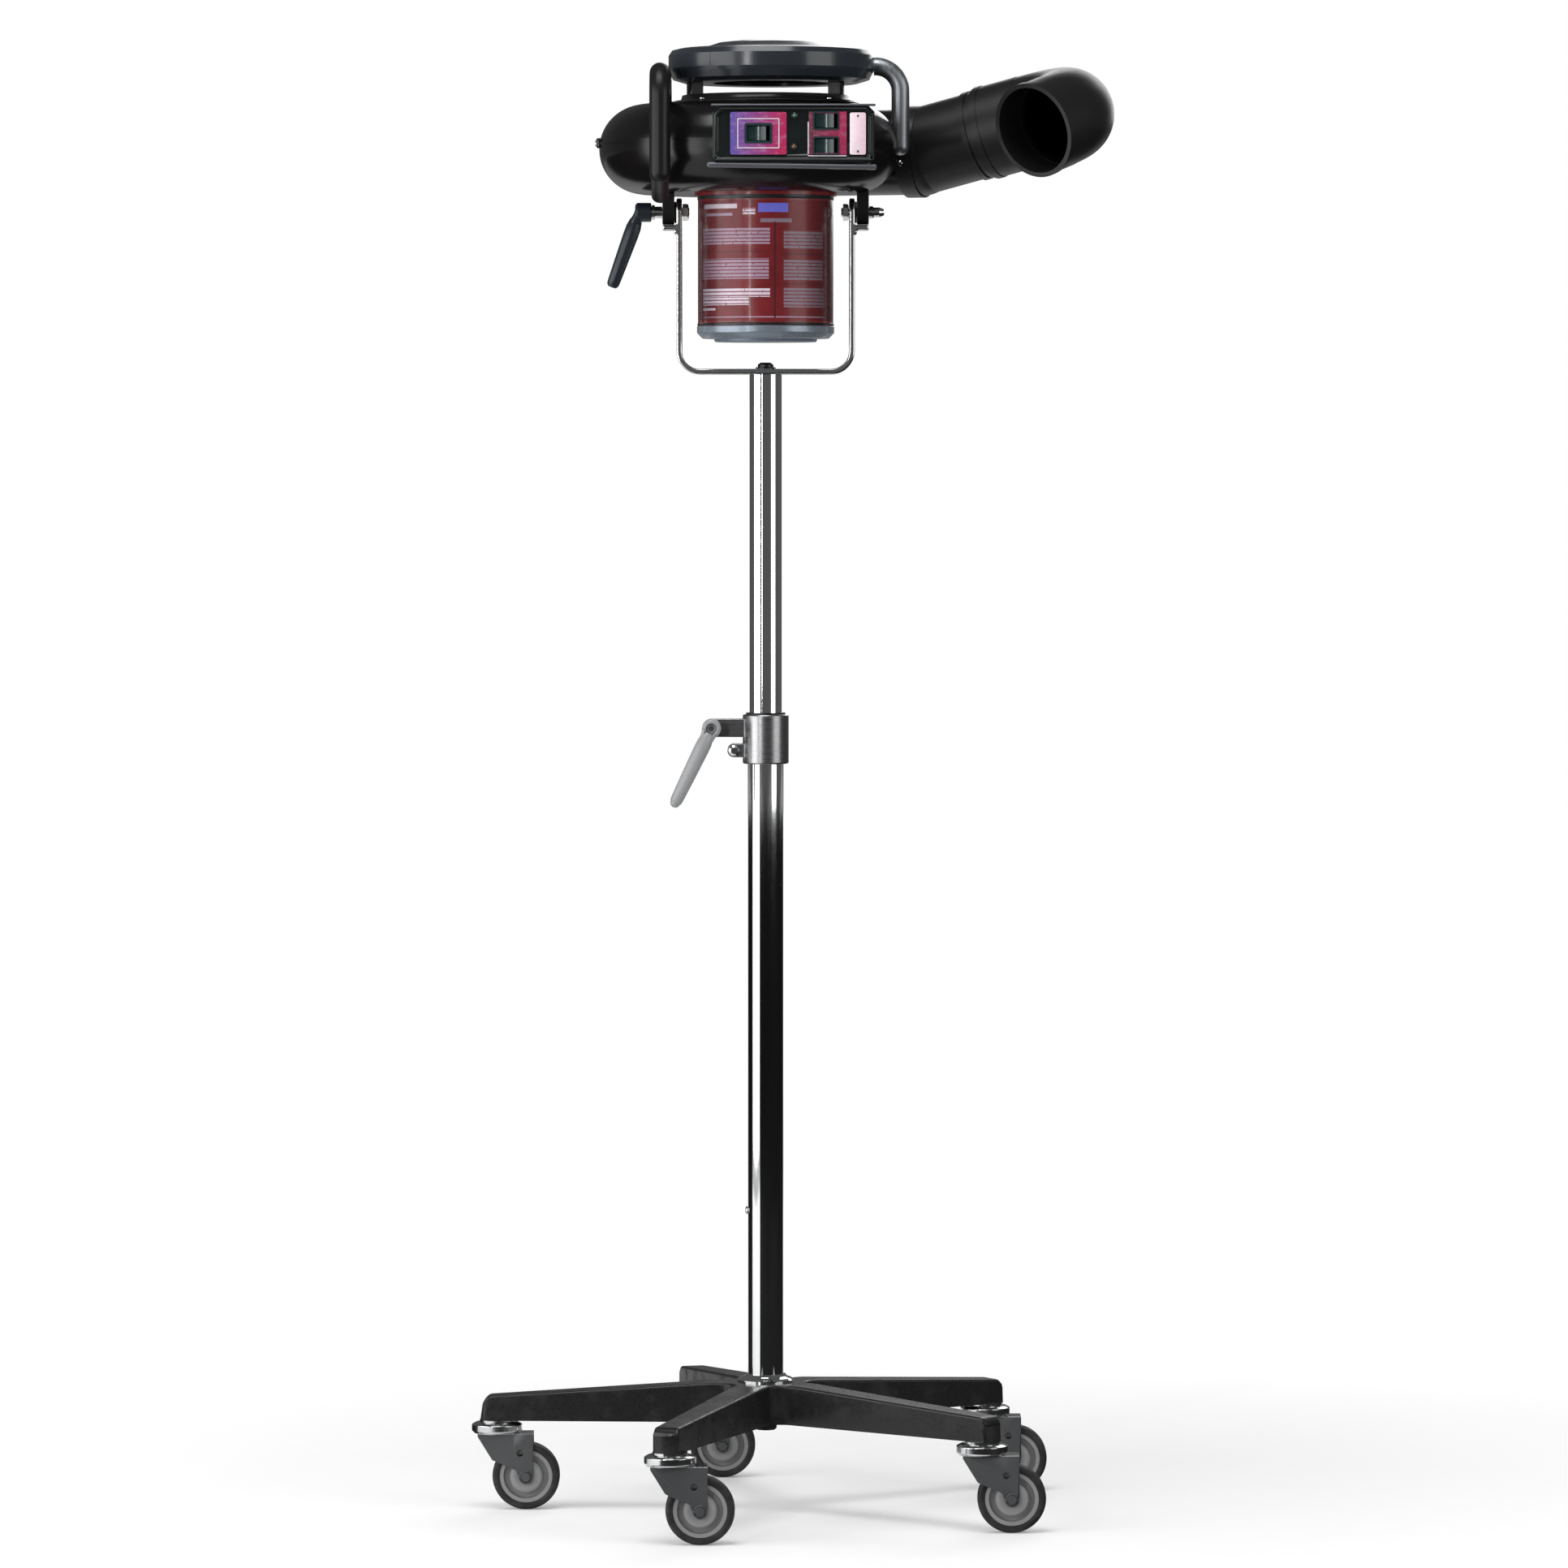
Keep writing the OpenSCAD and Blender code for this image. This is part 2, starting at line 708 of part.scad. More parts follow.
// Profile of the wheel: hub, thin web and rim, X outwards
module wheel_profile() {
    half = tyre_width / 2;
    bore = axle_radius + run_fit;
    polygon([
        [bore, -half - 1.4], [axle_radius + 3, -half - 1.4], [axle_radius + 3.6, -half],
        [rim_radius * 0.62, -half + 1], [rim_radius * 0.64, -3],
        [rim_radius - 4, -3], [rim_radius - 3.4, -half + 1.2], [rim_radius, -half + 1.2],
        [rim_radius, half - 1.2], [rim_radius - 3.4, half - 1.2], [rim_radius - 4, 3],
        [rim_radius * 0.64, 3], [rim_radius * 0.62, half - 1],
        [axle_radius + 3.6, half], [axle_radius + 3, half + 1.4], [bore, half + 1.4]
    ]);
}

module wheel(leg) {
    color([0.35, 0.35, 0.36]) at_stem(leg) translate([caster_trail, 0, wheel_radius]) {
        facing_front() rotate_extrude() wheel_profile();
    }
}

module tyre(leg) {
    half = tyre_width / 2;
    color([0.03, 0.03, 0.03]) at_stem(leg) translate([caster_trail, 0, wheel_radius]) {
        facing_front() rotate_extrude() polygon([
            [rim_radius, -half + 0.8], [rim_radius + 2, -half], [wheel_radius - 2.4, -half],
            [wheel_radius - 0.7, -half + 1.8], [wheel_radius, -half + 4.5], [wheel_radius, half - 4.5],
            [wheel_radius - 0.7, half - 1.8], [wheel_radius - 2.4, half], [rim_radius + 2, half],
            [rim_radius, half - 0.8]
        ]);
    }
}

module fork_1() { fork(0); }
module wheel_1() { wheel(0); }
module tyre_1() { tyre(0); }
module fork_2() { fork(1); }
module wheel_2() { wheel(1); }
module tyre_2() { tyre(1); }
module fork_3() { fork(2); }
module wheel_3() { wheel(2); }
module tyre_3() { tyre(2); }
module fork_4() { fork(3); }
module wheel_4() { wheel(3); }
module tyre_4() { tyre(3); }
module fork_5() { fork(4); }
module wheel_5() { wheel(4); }
module tyre_5() { tyre(4); }

// ---------------------------------------------------------------- mast

// Plastic foot of the upper tube: it slides in the lower tube and the upper tube turns on it
module tube_glide() {
    spigot = upper_tube_bore - run_fit;
    color([0.08, 0.08, 0.08]) translate([0, 0, upper_tube_bottom]) {
        translate([0, 0, -glide_length - move_gap]) rotate_extrude() polygon([
            [0, 0], [lower_tube_bore - 1, 0], [lower_tube_bore - run_fit, 1],
            [lower_tube_bore - run_fit, glide_length], [0, glide_length]
        ]);
        translate([0, 0, -move_gap - e]) cylinder(r = spigot, h = 26);
    }
}

module upper_tube() {
    color([0.82, 0.82, 0.84]) translate([0, 0, upper_tube_bottom]) {
        tube(upper_tube_radius, upper_tube_bore, yoke_bottom - upper_tube_bottom);
    }
}

// Fixing of the yoke: a plug in the top of the tube, and the bolt that goes through the yoke into it
module yoke_bolt() {
    color([0.75, 0.75, 0.77]) {
        translate([0, 0, yoke_bottom - yoke_plug]) tube(upper_tube_bore, 4 + run_fit, yoke_plug);
        translate([0, 0, yoke_seat + e]) {
            cylinder(r = 9, h = 1.4);
            translate([0, 0, 1.4]) difference() {
                rotate_extrude() polygon([[0, 0], [7, 0], [7, 2.4], [4.4, 4.2], [0, 4.2]]);
                translate([0, 0, 2]) cylinder(r = 2.9, h = 5, $fn = 6);
            }
            translate([0, 0, -20]) cylinder(r = 4, h = 20 + e);
        }
    }
}

// Front outline of the yoke's strip: a U with round corners
module yoke_outline(outer_half, bottom, corner) {
    union() {
        translate([-outer_half + corner, bottom]) square([2 * (outer_half - corner), tilt_z - bottom]);
        translate([-outer_half, bottom + corner]) square([2 * outer_half, tilt_z - bottom - corner]);
        for (side = [-1, 1]) translate([side * (outer_half - corner), bottom + corner]) circle(r = corner);
    }
}

// Bent steel strip with pierced round arm ends and the two outward stop tabs
module yoke() {
    tab_top = tilt_z - ear_width / 2 - move_gap;
    color([0.85, 0.85, 0.87]) difference() {
        union() {
            facing_front() translate([0, 0, -yoke_strip_width / 2]) {
                linear_extrude(height = yoke_strip_width) difference() {
                    yoke_outline(arm_outer, yoke_bottom, yoke_corner + yoke_strip);
                    translate([0, e]) yoke_outline(arm_inner, yoke_seat, yoke_corner);
                }
            }
            for (side = [-1, 1]) {
                translate([side > 0 ? arm_inner : -arm_outer, 0, tilt_z]) facing_right() {
                    cylinder(r = arm_round, h = yoke_strip);
                }
                translate([side > 0 ? arm_outer - 1 : -ear_outer, -yoke_strip_width / 2, tab_top - 8]) {
                    cube([ear_outer - arm_outer + 1, yoke_strip_width, 8]);
                }
            }
        }
        translate([-yoke_width, 0, tilt_z]) facing_right() {
            cylinder(r = tilt_bolt_radius + run_fit, h = 2 * yoke_width);
        }
        translate([0, 0, yoke_bottom - 1]) cylinder(r = 4.2, h = yoke_strip + 2);
        for (side = [-1, 1]) {
            translate([side * (ear_outer + arm_outer) / 2 - (ear_outer - arm_outer) / 2 + (side > 0 ? 2 : -1),
                -yoke_strip_width / 2 - 1, tab_top - 8 - 1]) {
                cube([ear_outer - arm_outer - 1, yoke_strip_width + 2, 4.5]);
            }
        }
    }
}

// Right-hand pivot: shoulder bolt with a round dark head, and its nut inside the arm
module pivot_bolt() {
    color([0.12, 0.12, 0.13]) translate([0, 0, tilt_z]) facing_right() {
        translate([0, 0, arm_inner - 7]) {
            cylinder(r = tilt_bolt_radius, h = ear_outer + move_gap - arm_inner + 7 + e);
        }
        translate([0, 0, ear_outer + move_gap]) rotate_extrude() polygon([
            [0, 0], [5.5, 0], [5.5, 3], [4.4, 4.2], [4.4, 9], [3, 13], [0, 13.6]
        ]);
        translate([0, 0, arm_inner - 5.4]) hex_head(13, 5);
    }
}

// Friction washers between the arms and the ears
module friction_washers() {
    color([0.7, 0.7, 0.68]) for (side = [-1, 1]) {
        translate([side * (arm_outer + washer_space / 2) - washer_thickness / 2, 0, tilt_z]) {
            facing_right() tube(9.5, tilt_bolt_radius + run_fit, washer_thickness);
        }
    }
}

// Places the tilt lever's own frame on the left ear, its Z axis pointing left
module at_tilt() {
    translate([-ear_outer - move_gap, 0, tilt_z]) rotate([0, -90, 0]) children();
}

module tilt_stud() {
    arm_face = ear_outer + move_gap - arm_inner;
    color([0.75, 0.75, 0.77]) at_tilt() translate([0, 0, stud_stand]) {
        lever_stud(arm_face + 6.5 + stud_stand, arm_face + move_gap + stud_stand);
        translate([0, 0, -stud_stand]) cylinder(r = 5.2, h = stud_stand + 1);
    }
}

module tilt_lever() {
    color([0.09, 0.1, 0.12]) at_tilt() translate([0, 0, stud_stand]) rotate([0, 0, 180]) {
        lever_body(lever_lean, lever_length - 4);
    }
}

module tilt_lever_screw() {
    color([0.3, 0.3, 0.32]) at_tilt() translate([0, 0, stud_stand]) lever_retainer();
}

// ---------------------------------------------------------------- fan housing

// One bend of the housing's round edge, from angle a to angle b about the arc's centre
module edge_bend(arc, a, b, inset) {
    translate([arc[0], arc[1], casing_mid]) rotate_extrude(angle = b - a, start = a) {
        translate([arc[2] - edge_radius, 0]) circle(r = edge_radius - inset);
    }
}

// Points along the middle of one bend of the edge
function edge_points(arc, a, b, steps) = [
    for (i = [0 : steps])
        let (turn = a + (b - a) * i / steps, radius = arc[2] - edge_radius)
        [arc[0] + radius * cos(turn), arc[1] + radius * sin(turn)]
];

// Flat middle of the housing, which ends inside the round edge
module scroll_plate(inset) {
    half = plate_half - inset;
    translate([0, 0, casing_mid - half]) linear_extrude(height = 2 * half) polygon(concat(
        edge_points(tongue_arc, tongue_end - 10, 8, 6),
        edge_points(right_arc, -arc_lap, arc_lap - 90, 7),
        edge_points(left_arc, 270 - arc_lap, 180 + arc_lap, 7),
        edge_points(back_arc, 180 - arc_lap, 90 - duct_turn + 1, 8)
    ));
}

// The whole scroll and its level throat, shrunk by inset
module scroll(inset) {
    edge_bend(right_arc, -90, 0, inset);
    edge_bend(left_arc, 180, 270, inset);
    edge_bend(back_arc, 90 - duct_turn, 180, inset);
    edge_bend(tongue_arc, 0, tongue_end, inset);
    scroll_plate(inset);
    if (inset == 0) throat(throat_radius, throat_length);
}

// Block of the housing's shape near one bend, used to seat what stands against it
module scroll_part(arc, a, b) {
    edge_bend(arc, a, b, 0);
    translate([arc[0], arc[1], casing_mid - plate_half]) {
        rotate_extrude(angle = b - a, start = a) square([arc[2] - edge_radius, 2 * plate_half]);
    }
}

// Level round throat that carries the outlet out of the scroll
module throat(radius, length) {
    translate([throat_start[0], throat_start[1], casing_mid]) rotate([0, 0, -duct_turn]) {
        translate([-2, 0, 0]) facing_right() cylinder(r = radius, h = length + 2);
    }
}

// Hollow moulding of which the two casings are cut
module casing_shell(low, high) {
    intersection() {
        difference() {
            scroll(0);
            scroll(casing_wall);
            throat(throat_radius - casing_wall, throat_length + 10);
        }
        translate([-cut_span / 2, -cut_span / 2, low]) cube([cut_span, cut_span, high - low]);
    }
}

module lower_casing() {
    color([0.06, 0.06, 0.065]) difference() {
        casing_shell(casing_bottom - 1, seam_z);
        translate([0, 0, casing_bottom - 1]) cylinder(r = bearing_radius + 6, h = casing_wall + 2);
    }
}

module upper_casing() {
    color([0.06, 0.06, 0.065]) difference() {
        casing_shell(seam_z, casing_top + 1);
        translate([0, 0, casing_top - casing_wall - 1]) cylinder(r = intake_bore, h = casing_wall + 2);
    }
}

// ---------------------------------------------------------------- pivot ears and motor

// Two moulded ears that hang from the housing outside the yoke's arms
module pivot_ears() {
    color([0.03, 0.03, 0.035]) for (side = [-1, 1]) {
        difference() {
            union() {
                translate([side > 0 ? ear_inner : -ear_outer, 0, tilt_z]) facing_right() {
                    cylinder(r = ear_width / 2, h = ear_thick);
                }
                translate([side > 0 ? ear_inner : -ear_outer, -ear_width / 2, tilt_z]) {
                    cube([ear_thick, ear_width, tilt_drop + 3.5]);
                }
            }
            translate([-yoke_width, 0, tilt_z]) facing_right() {
                cylinder(r = tilt_bolt_radius + run_fit, h = 2 * yoke_width);
            }
            scroll_seat();
        }
    }
}

// The outside of the housing near the ears, used to seat what stands against it
module scroll_seat() {
    scroll_part(right_arc, -90, 0);
    scroll_part(left_arc, 180, 270);
    scroll_part(tongue_arc, 0, 60);
}

// Drawn steel can with a rolled top flange
module motor_can() {
    color([0.45, 0.08, 0.09]) translate([0, 0, can_bottom]) difference() {
        union() {
            cylinder(r = can_radius, h = can_height - 3);
            translate([0, 0, can_height - 3]) cylinder(r = can_radius + 3, h = 3);
        }
        translate([0, 0, -1]) cylinder(r = can_radius - can_wall, h = can_height - 2);
        translate([0, 0, can_height - 4]) cylinder(r = bearing_radius + run_fit, h = 6);
    }
}

// Pressed end cap with a bevelled rim, a raised centre and cooling slots
module end_cap() {
    slots = 10;
    color([0.33, 0.4, 0.46]) translate([0, 0, cap_bottom + 3 - e]) {
        tube(bearing_radius + 3, bearing_radius, 6);
    }
    color([0.33, 0.4, 0.46]) difference() {
        rotate_extrude() polygon([
            [0, cap_bottom - 3], [can_radius - 15, cap_bottom - 3], [can_radius - 14, cap_bottom],
            [can_radius - 4, cap_bottom], [can_radius + 0.8, cap_bottom + 5],
            [can_radius + 0.8, can_bottom], [can_radius - can_wall - 0.1, can_bottom],
            [can_radius - can_wall - 0.1, can_bottom + 4], [can_radius - can_wall - 2, can_bottom + 4],
            [can_radius - can_wall - 4, cap_bottom + 3], [0, cap_bottom + 3]
        ]);
        for (i = [0 : slots - 1]) rotate([0, 0, i * 360 / slots]) {
            translate([24, -2, cap_bottom - 5]) cube([18, 4, 12]);
        }
    }
}

// Laminated stator pressed into the can, with its winding ends
module stator() {
    outer = can_radius - can_wall;
    windings = 10;
    color([0.5, 0.35, 0.2]) translate([0, 0, core_bottom]) difference() {
        union() {
            cylinder(r = outer, h = core_length);
            translate([0, 0, -windings]) cylinder(r = outer - 12, h = core_length + 2 * windings);
        }
        translate([0, 0, -windings - 1]) cylinder(r = core_radius + 0.6, h = core_length + 2 * windings + 2);
    }
}

// Two shaft bearings: one in the end cap, one in the can's top
module bearings() {
    color([0.7, 0.7, 0.72]) for (low = [cap_bottom + 3, can_top - bearing_height]) {
        translate([0, 0, low]) tube(bearing_radius, shaft_radius + run_fit, bearing_height);
    }
}

// Motor shaft with the rotor core on it
module rotor_shaft() {
    color([0.6, 0.6, 0.62]) {
        translate([0, 0, cap_bottom + 3.4]) {
            cylinder(r = shaft_radius, h = shaft_top - cap_bottom - 3.4);
        }
        translate([0, 0, core_bottom]) cylinder(r = core_radius, h = core_length);
    }
}

// Middle line of a blade: an arc that leaves the hub side radially and sweeps back at the rim
function blade_point(radius, sweep) = [radius * cos(sweep), radius * sin(sweep)];
function blade_sweep(share) = 34 * share * share;

// Plan outline of one backward-curved blade
module blade_outline(inner, outer, thickness, steps) {
    half_turn = function(radius) thickness / 2 / radius * 180 / PI;
    front = [for (i = [0 : steps])
        let (radius = inner + (outer - inner) * i / steps)
        blade_point(radius, blade_sweep(i / steps) + half_turn(radius))];
    back = [for (i = [steps : -1 : 0])
        let (radius = inner + (outer - inner) * i / steps)
        blade_point(radius, blade_sweep(i / steps) - half_turn(radius))];
    polygon(concat(front, back));
}

// Closed centrifugal wheel: back plate with hub, curved blades and a coned shroud
module impeller() {
    eye = intake_bore - 8;
    plate = 2;
    color([0.75, 0.75, 0.76]) difference() {
        union() {
            translate([0, 0, impeller_bottom]) {
                cylinder(r = impeller_radius, h = plate);
                cylinder(r = 14, h = impeller_height - 14);
                for (i = [0 : blade_count - 1]) rotate([0, 0, i * 360 / blade_count]) {
                    translate([0, 0, plate - e]) linear_extrude(height = impeller_height - 2 * plate + 2 * e) {
                        blade_outline(eye - 6, impeller_radius - 1, plate, 5);
                    }
                }
            }
            translate([0, 0, impeller_top - plate]) tube(impeller_radius, eye - 3, plate);
        }
        translate([0, 0, impeller_bottom - 1]) cylinder(r = shaft_radius, h = impeller_height);
    }
}

// ---------------------------------------------------------------- intake

// Stepped ring round the intake with the posts that carry the cover
module intake_ring() {
    color([0.07, 0.07, 0.075]) {
        difference() {
            translate([0, 0, ring_bottom]) rotate_extrude() polygon([
                [intake_bore, 0], [intake_radius + 8, 0], [intake_radius + 6, 2], [intake_radius + 1, 2],
                [intake_radius, 3], [intake_radius - 1, ring_top - ring_bottom],
                [intake_bore, ring_top - ring_bottom]
            ]);
            for (turn = [45 : 90 : 315]) rotate([0, 0, turn]) {
                translate([ring_screw_reach, 0, ring_bottom - 1]) {
                    cylinder(r = ring_screw_radius + 0.1, h = 4);
                }
            }
        }
        for (side = [0, 180], spread = [-post_spread, post_spread]) rotate([0, 0, side + spread]) {
            translate([post_reach, 0, ring_top - e]) linear_extrude(height = intake_gap + e) {
                polygon([[-5, -6], [5, -6], [7, -3], [7, 3], [5, 6], [-5, 6]]);
            }
        }
    }
}

// Finger guard across the intake: rings on four spokes
module intake_grille() {
    wire = 1.6;
    color([0.1, 0.1, 0.1]) translate([0, 0, ring_bottom + 1]) {
        for (ring = [0 : 4]) tube(intake_bore - ring * 10.4, intake_bore - ring * 10.4 - wire, wire * 1.5);
        for (turn = [0 : 45 : 135]) rotate([0, 0, turn]) {
            translate([-intake_bore + wire / 2, -wire / 2, 0]) cube([2 * intake_bore - wire, wire, wire]);
        }
    }
}

// Moulded cover over the intake: a shell with a side wall, shoulder, low dome and inward flange
module intake_cover() {
    shell = 3;
    wall = cover_wall_height;
    crown = cover_wall_height + dome_rise;
    color([0.08, 0.09, 0.1]) translate([cover_shift, 0, cover_bottom]) difference() {
        rotate_extrude() polygon([
            [0, 0], [cover_radius - 14, 0], [cover_radius - 4, 3], [cover_radius - 1, 9],
            [cover_radius, 12], [cover_radius, wall - 6], [cover_radius - 3, wall - 1.5],
            [cover_radius - 9, wall], [cover_radius - 30, wall + 1],
            [cover_radius - 44, crown - 2.4], [cover_radius - 62, crown - 0.4], [0, crown]
        ]);
        rotate_extrude() polygon([
            [0, -1], [cover_mouth, -1], [cover_mouth, shell], [cover_radius - 15, shell],
            [cover_radius - 6, 6], [cover_radius - shell, 13], [cover_radius - shell, wall - 7],
            [cover_radius - 10, wall - shell], [cover_radius - 31, wall + 1 - shell],
            [cover_radius - 45, crown - 2.4 - shell], [cover_radius - 62, crown - 0.4 - shell],
            [0, crown - shell]
        ]);
    }
}

// ---------------------------------------------------------------- handles

// Quarter bend of a round bar in the XZ plane, from +X to -Z
module bar_bend(bend, radius) {
    facing_front() rotate_extrude(angle = 90) translate([bend, 0]) circle(r = radius);
}

// Tube handle from the cover's right edge down to the housing's right shoulder
module carry_handle() {
    start = cover_radius + cover_shift - 1.5;
    bend = 22;
    high = cover_bottom + cover_wall_height / 2;
    x = start + 3 + bend;
    color([0.4, 0.41, 0.43]) difference() {
        union() {
            translate([start - 4, 0, high]) facing_right() cylinder(r = handle_radius, h = 7);
            translate([start + 3, 0, high - bend]) bar_bend(bend, handle_radius);
            translate([x, 0, casing_mid + 2]) cylinder(r = handle_radius, h = high - bend - casing_mid - 2);
            translate([x, 0, casing_mid + 2]) sphere(r = handle_radius);
        }
        translate([cover_shift, 0, cover_bottom - 1]) cylinder(r = cover_radius, h = cover_wall_height + 4);
        scroll_part(right_arc, -90, 0);
        scroll_part(tongue_arc, 0, 60);
    }
}

// Bar grip on the left: up in front of the housing, over its top and down to its foot
module side_grip() {
    bend = 20;
    front = -left_arc[2] + left_arc[1] + 6;
    high = casing_top + grip_above - grip_radius;
    low = casing_bottom + 4;
    rear = -20;
    color([0.05, 0.05, 0.05]) difference() {
        translate([-grip_left, 0, 0]) union() {
            translate([0, rear, casing_top - 4]) cylinder(r = grip_radius, h = high - bend - casing_top + 4);
            translate([0, rear - bend, high - bend]) rotate([0, 0, 90]) bar_bend(bend, grip_radius);
            translate([0, front + bend, high]) facing_back_to(rear - bend - front - bend);
            translate([0, front + bend, high - bend]) rotate([0, 0, -90]) bar_bend(bend, grip_radius);
            translate([0, front, low + 10]) cylinder(r = grip_radius, h = high - bend - low - 10);
            translate([0, front, low + 10]) sphere(r = grip_radius);
            translate([0, front, low + 10]) rotate([-90 - 35, 0, 0]) cylinder(r = grip_radius - 1.5, h = 34);
        }
        scroll_part(left_arc, 180, 270);
    }
}

// Straight stretch of the grip towards +Y
module facing_back_to(length) {
    rotate([-90, 0, 0]) cylinder(r = grip_radius, h = length);
}

// ---------------------------------------------------------------- control panel

// Outline of the panel's box seen from the front, with bevelled corners
module panel_outline(inset) {
    w = panel_width / 2 - inset;
    h = panel_height / 2 - inset;
    c = 5;
    polygon([
        [-w + c, -h], [w - c, -h], [w, -h + c], [w, h - c], [w - c, h], [-w + c, h],
        [-w, h - c], [-w, -h + c]
    ]);
}

// Place of a rocker's pivot in the panel, drawn with +Z towards the front
module at_rocker(place) {
    translate([place[0], panel_front + rocker_depth, place[1]]) facing_front() children();
}

// Opening for one rocker, with its two pivot sockets
module rocker_well() {
    translate([-rocker_width / 2 - move_gap, -rocker_height / 2 - move_gap, -6]) {
        cube([rocker_width + 2 * move_gap, rocker_height + 2 * move_gap, rocker_depth + 8]);
    }
    rotate([90, 0, 0]) translate([0, 0, -rocker_height / 2 - 2]) {
        cylinder(r = 1.5 + run_fit, h = rocker_height + 4);
    }
}

// Box on the housing's front with a bevelled bezel, a sunk face and a lip below it
module control_panel() {
    depth = 100;
    face_sink = 1.2;
    color([0.06, 0.06, 0.065]) difference() {
        union() {
            translate([panel_mid, panel_front + 3, panel_z]) facing_front() translate([0, 0, -depth]) {
                linear_extrude(height = depth) panel_outline(0);
            }
            translate([panel_mid, panel_front + 3 + e, panel_z]) facing_front() {
                linear_extrude(height = 3 + e) panel_outline(1.5);
            }
            translate([panel_left + 2, panel_front - 2, panel_z - panel_height / 2 + 2]) {
                cube([panel_width - 4, 8, 2]);
            }
        }
        translate([panel_mid, panel_front + face_sink, panel_z]) facing_front() {
            linear_extrude(height = 8) panel_outline(4.5);
        }
        at_rocker(power_place) rocker_well();
        at_rocker(heat_place) rocker_well();
        at_rocker(speed_place) rocker_well();
        scroll_part(right_arc, -90, 0);
        scroll_part(left_arc, 180, 270);
    }
}

// Rocker with a dished face, turned about its pivot pins to the off side
module rocker(place) {
    half = rocker_width / 2 - 0.3;
    lip = half - 0.9;
    color([0.04, 0.05, 0.06]) at_rocker(place) rotate([0, -rocker_travel / 2, 0]) {
        rotate([90, 0, 0]) translate([0, 0, -rocker_height / 2]) {
            linear_extrude(height = rocker_height) polygon([
                [-half + 3, -3.5], [half - 3, -3.5], [lip, rocker_depth - 0.6],
                [half * 0.4, rocker_depth - 2], [0, rocker_depth - 2.4], [-half * 0.4, rocker_depth - 2],
                [-lip, rocker_depth - 0.6]
            ]);
            translate([0, 0, -1.6]) cylinder(r = 1.5, h = rocker_height + 3.2);
        }
    }
}

module power_rocker() { rocker(power_place); }
module heat_rocker() { rocker(heat_place); }
module speed_rocker() { rocker(speed_place); }

// ---------------------------------------------------------------- outlet

// Moves the children to the end of the level throat, +X along it
module at_throat_end() {
    translate([throat_start[0], throat_start[1], casing_mid]) rotate([0, 0, -duct_turn]) {
        translate([throat_length, 0, 0]) children();
    }
}

// Moves the children to the middle of the duct's elbow and tips +X up along the rising duct
module along_duct() {
    at_throat_end() rotate([0, -duct_rise, 0]) children();
}

// Collar on the throat, ball elbow, rising duct and the grooved end that the nozzle turns on
module outlet_duct() {
    inner = duct_radius - duct_wall;
    color([0.06, 0.06, 0.065]) difference() {
        union() {
            at_throat_end() translate([-collar_band, 0, 0]) facing_right() {
                cylinder(r = duct_radius + 2, h = collar_band + 5);
            }
            at_throat_end() sphere(r = duct_radius + 0.8);
            along_duct() facing_right() cylinder(r = duct_radius, h = duct_length - 12);
            along_duct() translate([duct_length - 22, 0, 0]) facing_right() {
                cylinder(r = duct_radius + 1.4, h = 5);
            }
            along_duct() translate([duct_length - 12 - e, 0, 0]) facing_right() {
                cylinder(r = nozzle_radius - duct_wall - run_fit, h = 14);
            }
        }
        at_throat_end() translate([-60, 0, 0]) facing_right() cylinder(r = throat_radius, h = 60);
        at_throat_end() translate([-1, 0, 0]) facing_right() cylinder(r = inner - 0.4, h = 2);
        at_throat_end() sphere(r = inner);
        along_duct() facing_right() cylinder(r = inner - 0.4, h = duct_length + 20);
    }
}

// Moves the children to the start of the nozzle, +X along the duct and -Y towards the bend
module at_nozzle() {
    along_duct() translate([duct_length - 12 + move_gap, 0, 0]) rotate([nozzle_roll, 0, 0]) children();
}

// Moves the children to the end of the nozzle's bend, +Z out of the mouth
module at_mouth() {
    translate([nozzle_inlet, -nozzle_bend, 0]) rotate([0, 0, 90 - nozzle_angle]) {
        translate([nozzle_bend, 0, 0]) rotate([90, 0, 0]) children();
    }
}

// One bore or skin of the nozzle's inlet and bend, of the given radius
module nozzle_run(radius, grow) {
    facing_right() translate([0, 0, -grow]) cylinder(r = radius + muff_step, h = nozzle_inlet + grow + 1);
    translate([nozzle_inlet, -nozzle_bend, 0]) {
        rotate_extrude(angle = nozzle_angle, start = 90 - nozzle_angle) {
            translate([nozzle_bend, 0]) circle(r = radius);
        }
    }
}

// Swivel nozzle: a bent tube with an inlet that turns on the duct's spigot
module swivel_nozzle() {
    inner = nozzle_radius - duct_wall;
    color([0.06, 0.06, 0.065]) at_nozzle() difference() {
        union() {
            nozzle_run(nozzle_radius, 0);
            translate([2, 0, 0]) facing_right() cylinder(r = nozzle_radius + 1.2, h = 5);
        }
        nozzle_run(inner, 1);
    }
}

// Straight mouth piece at the end of the bend, with a rolled lip
module nozzle_tip() {
    color([0.06, 0.06, 0.065]) at_nozzle() at_mouth() difference() {
        union() {
            cylinder(r = nozzle_radius + muff_step, h = nozzle_mouth);
            translate([0, 0, nozzle_mouth - 5]) cylinder(r = nozzle_radius + 1.4, h = 5);
        }
        translate([0, 0, -1]) cylinder(r = nozzle_radius - duct_wall + muff_step, h = nozzle_mouth + 2);
    }
}

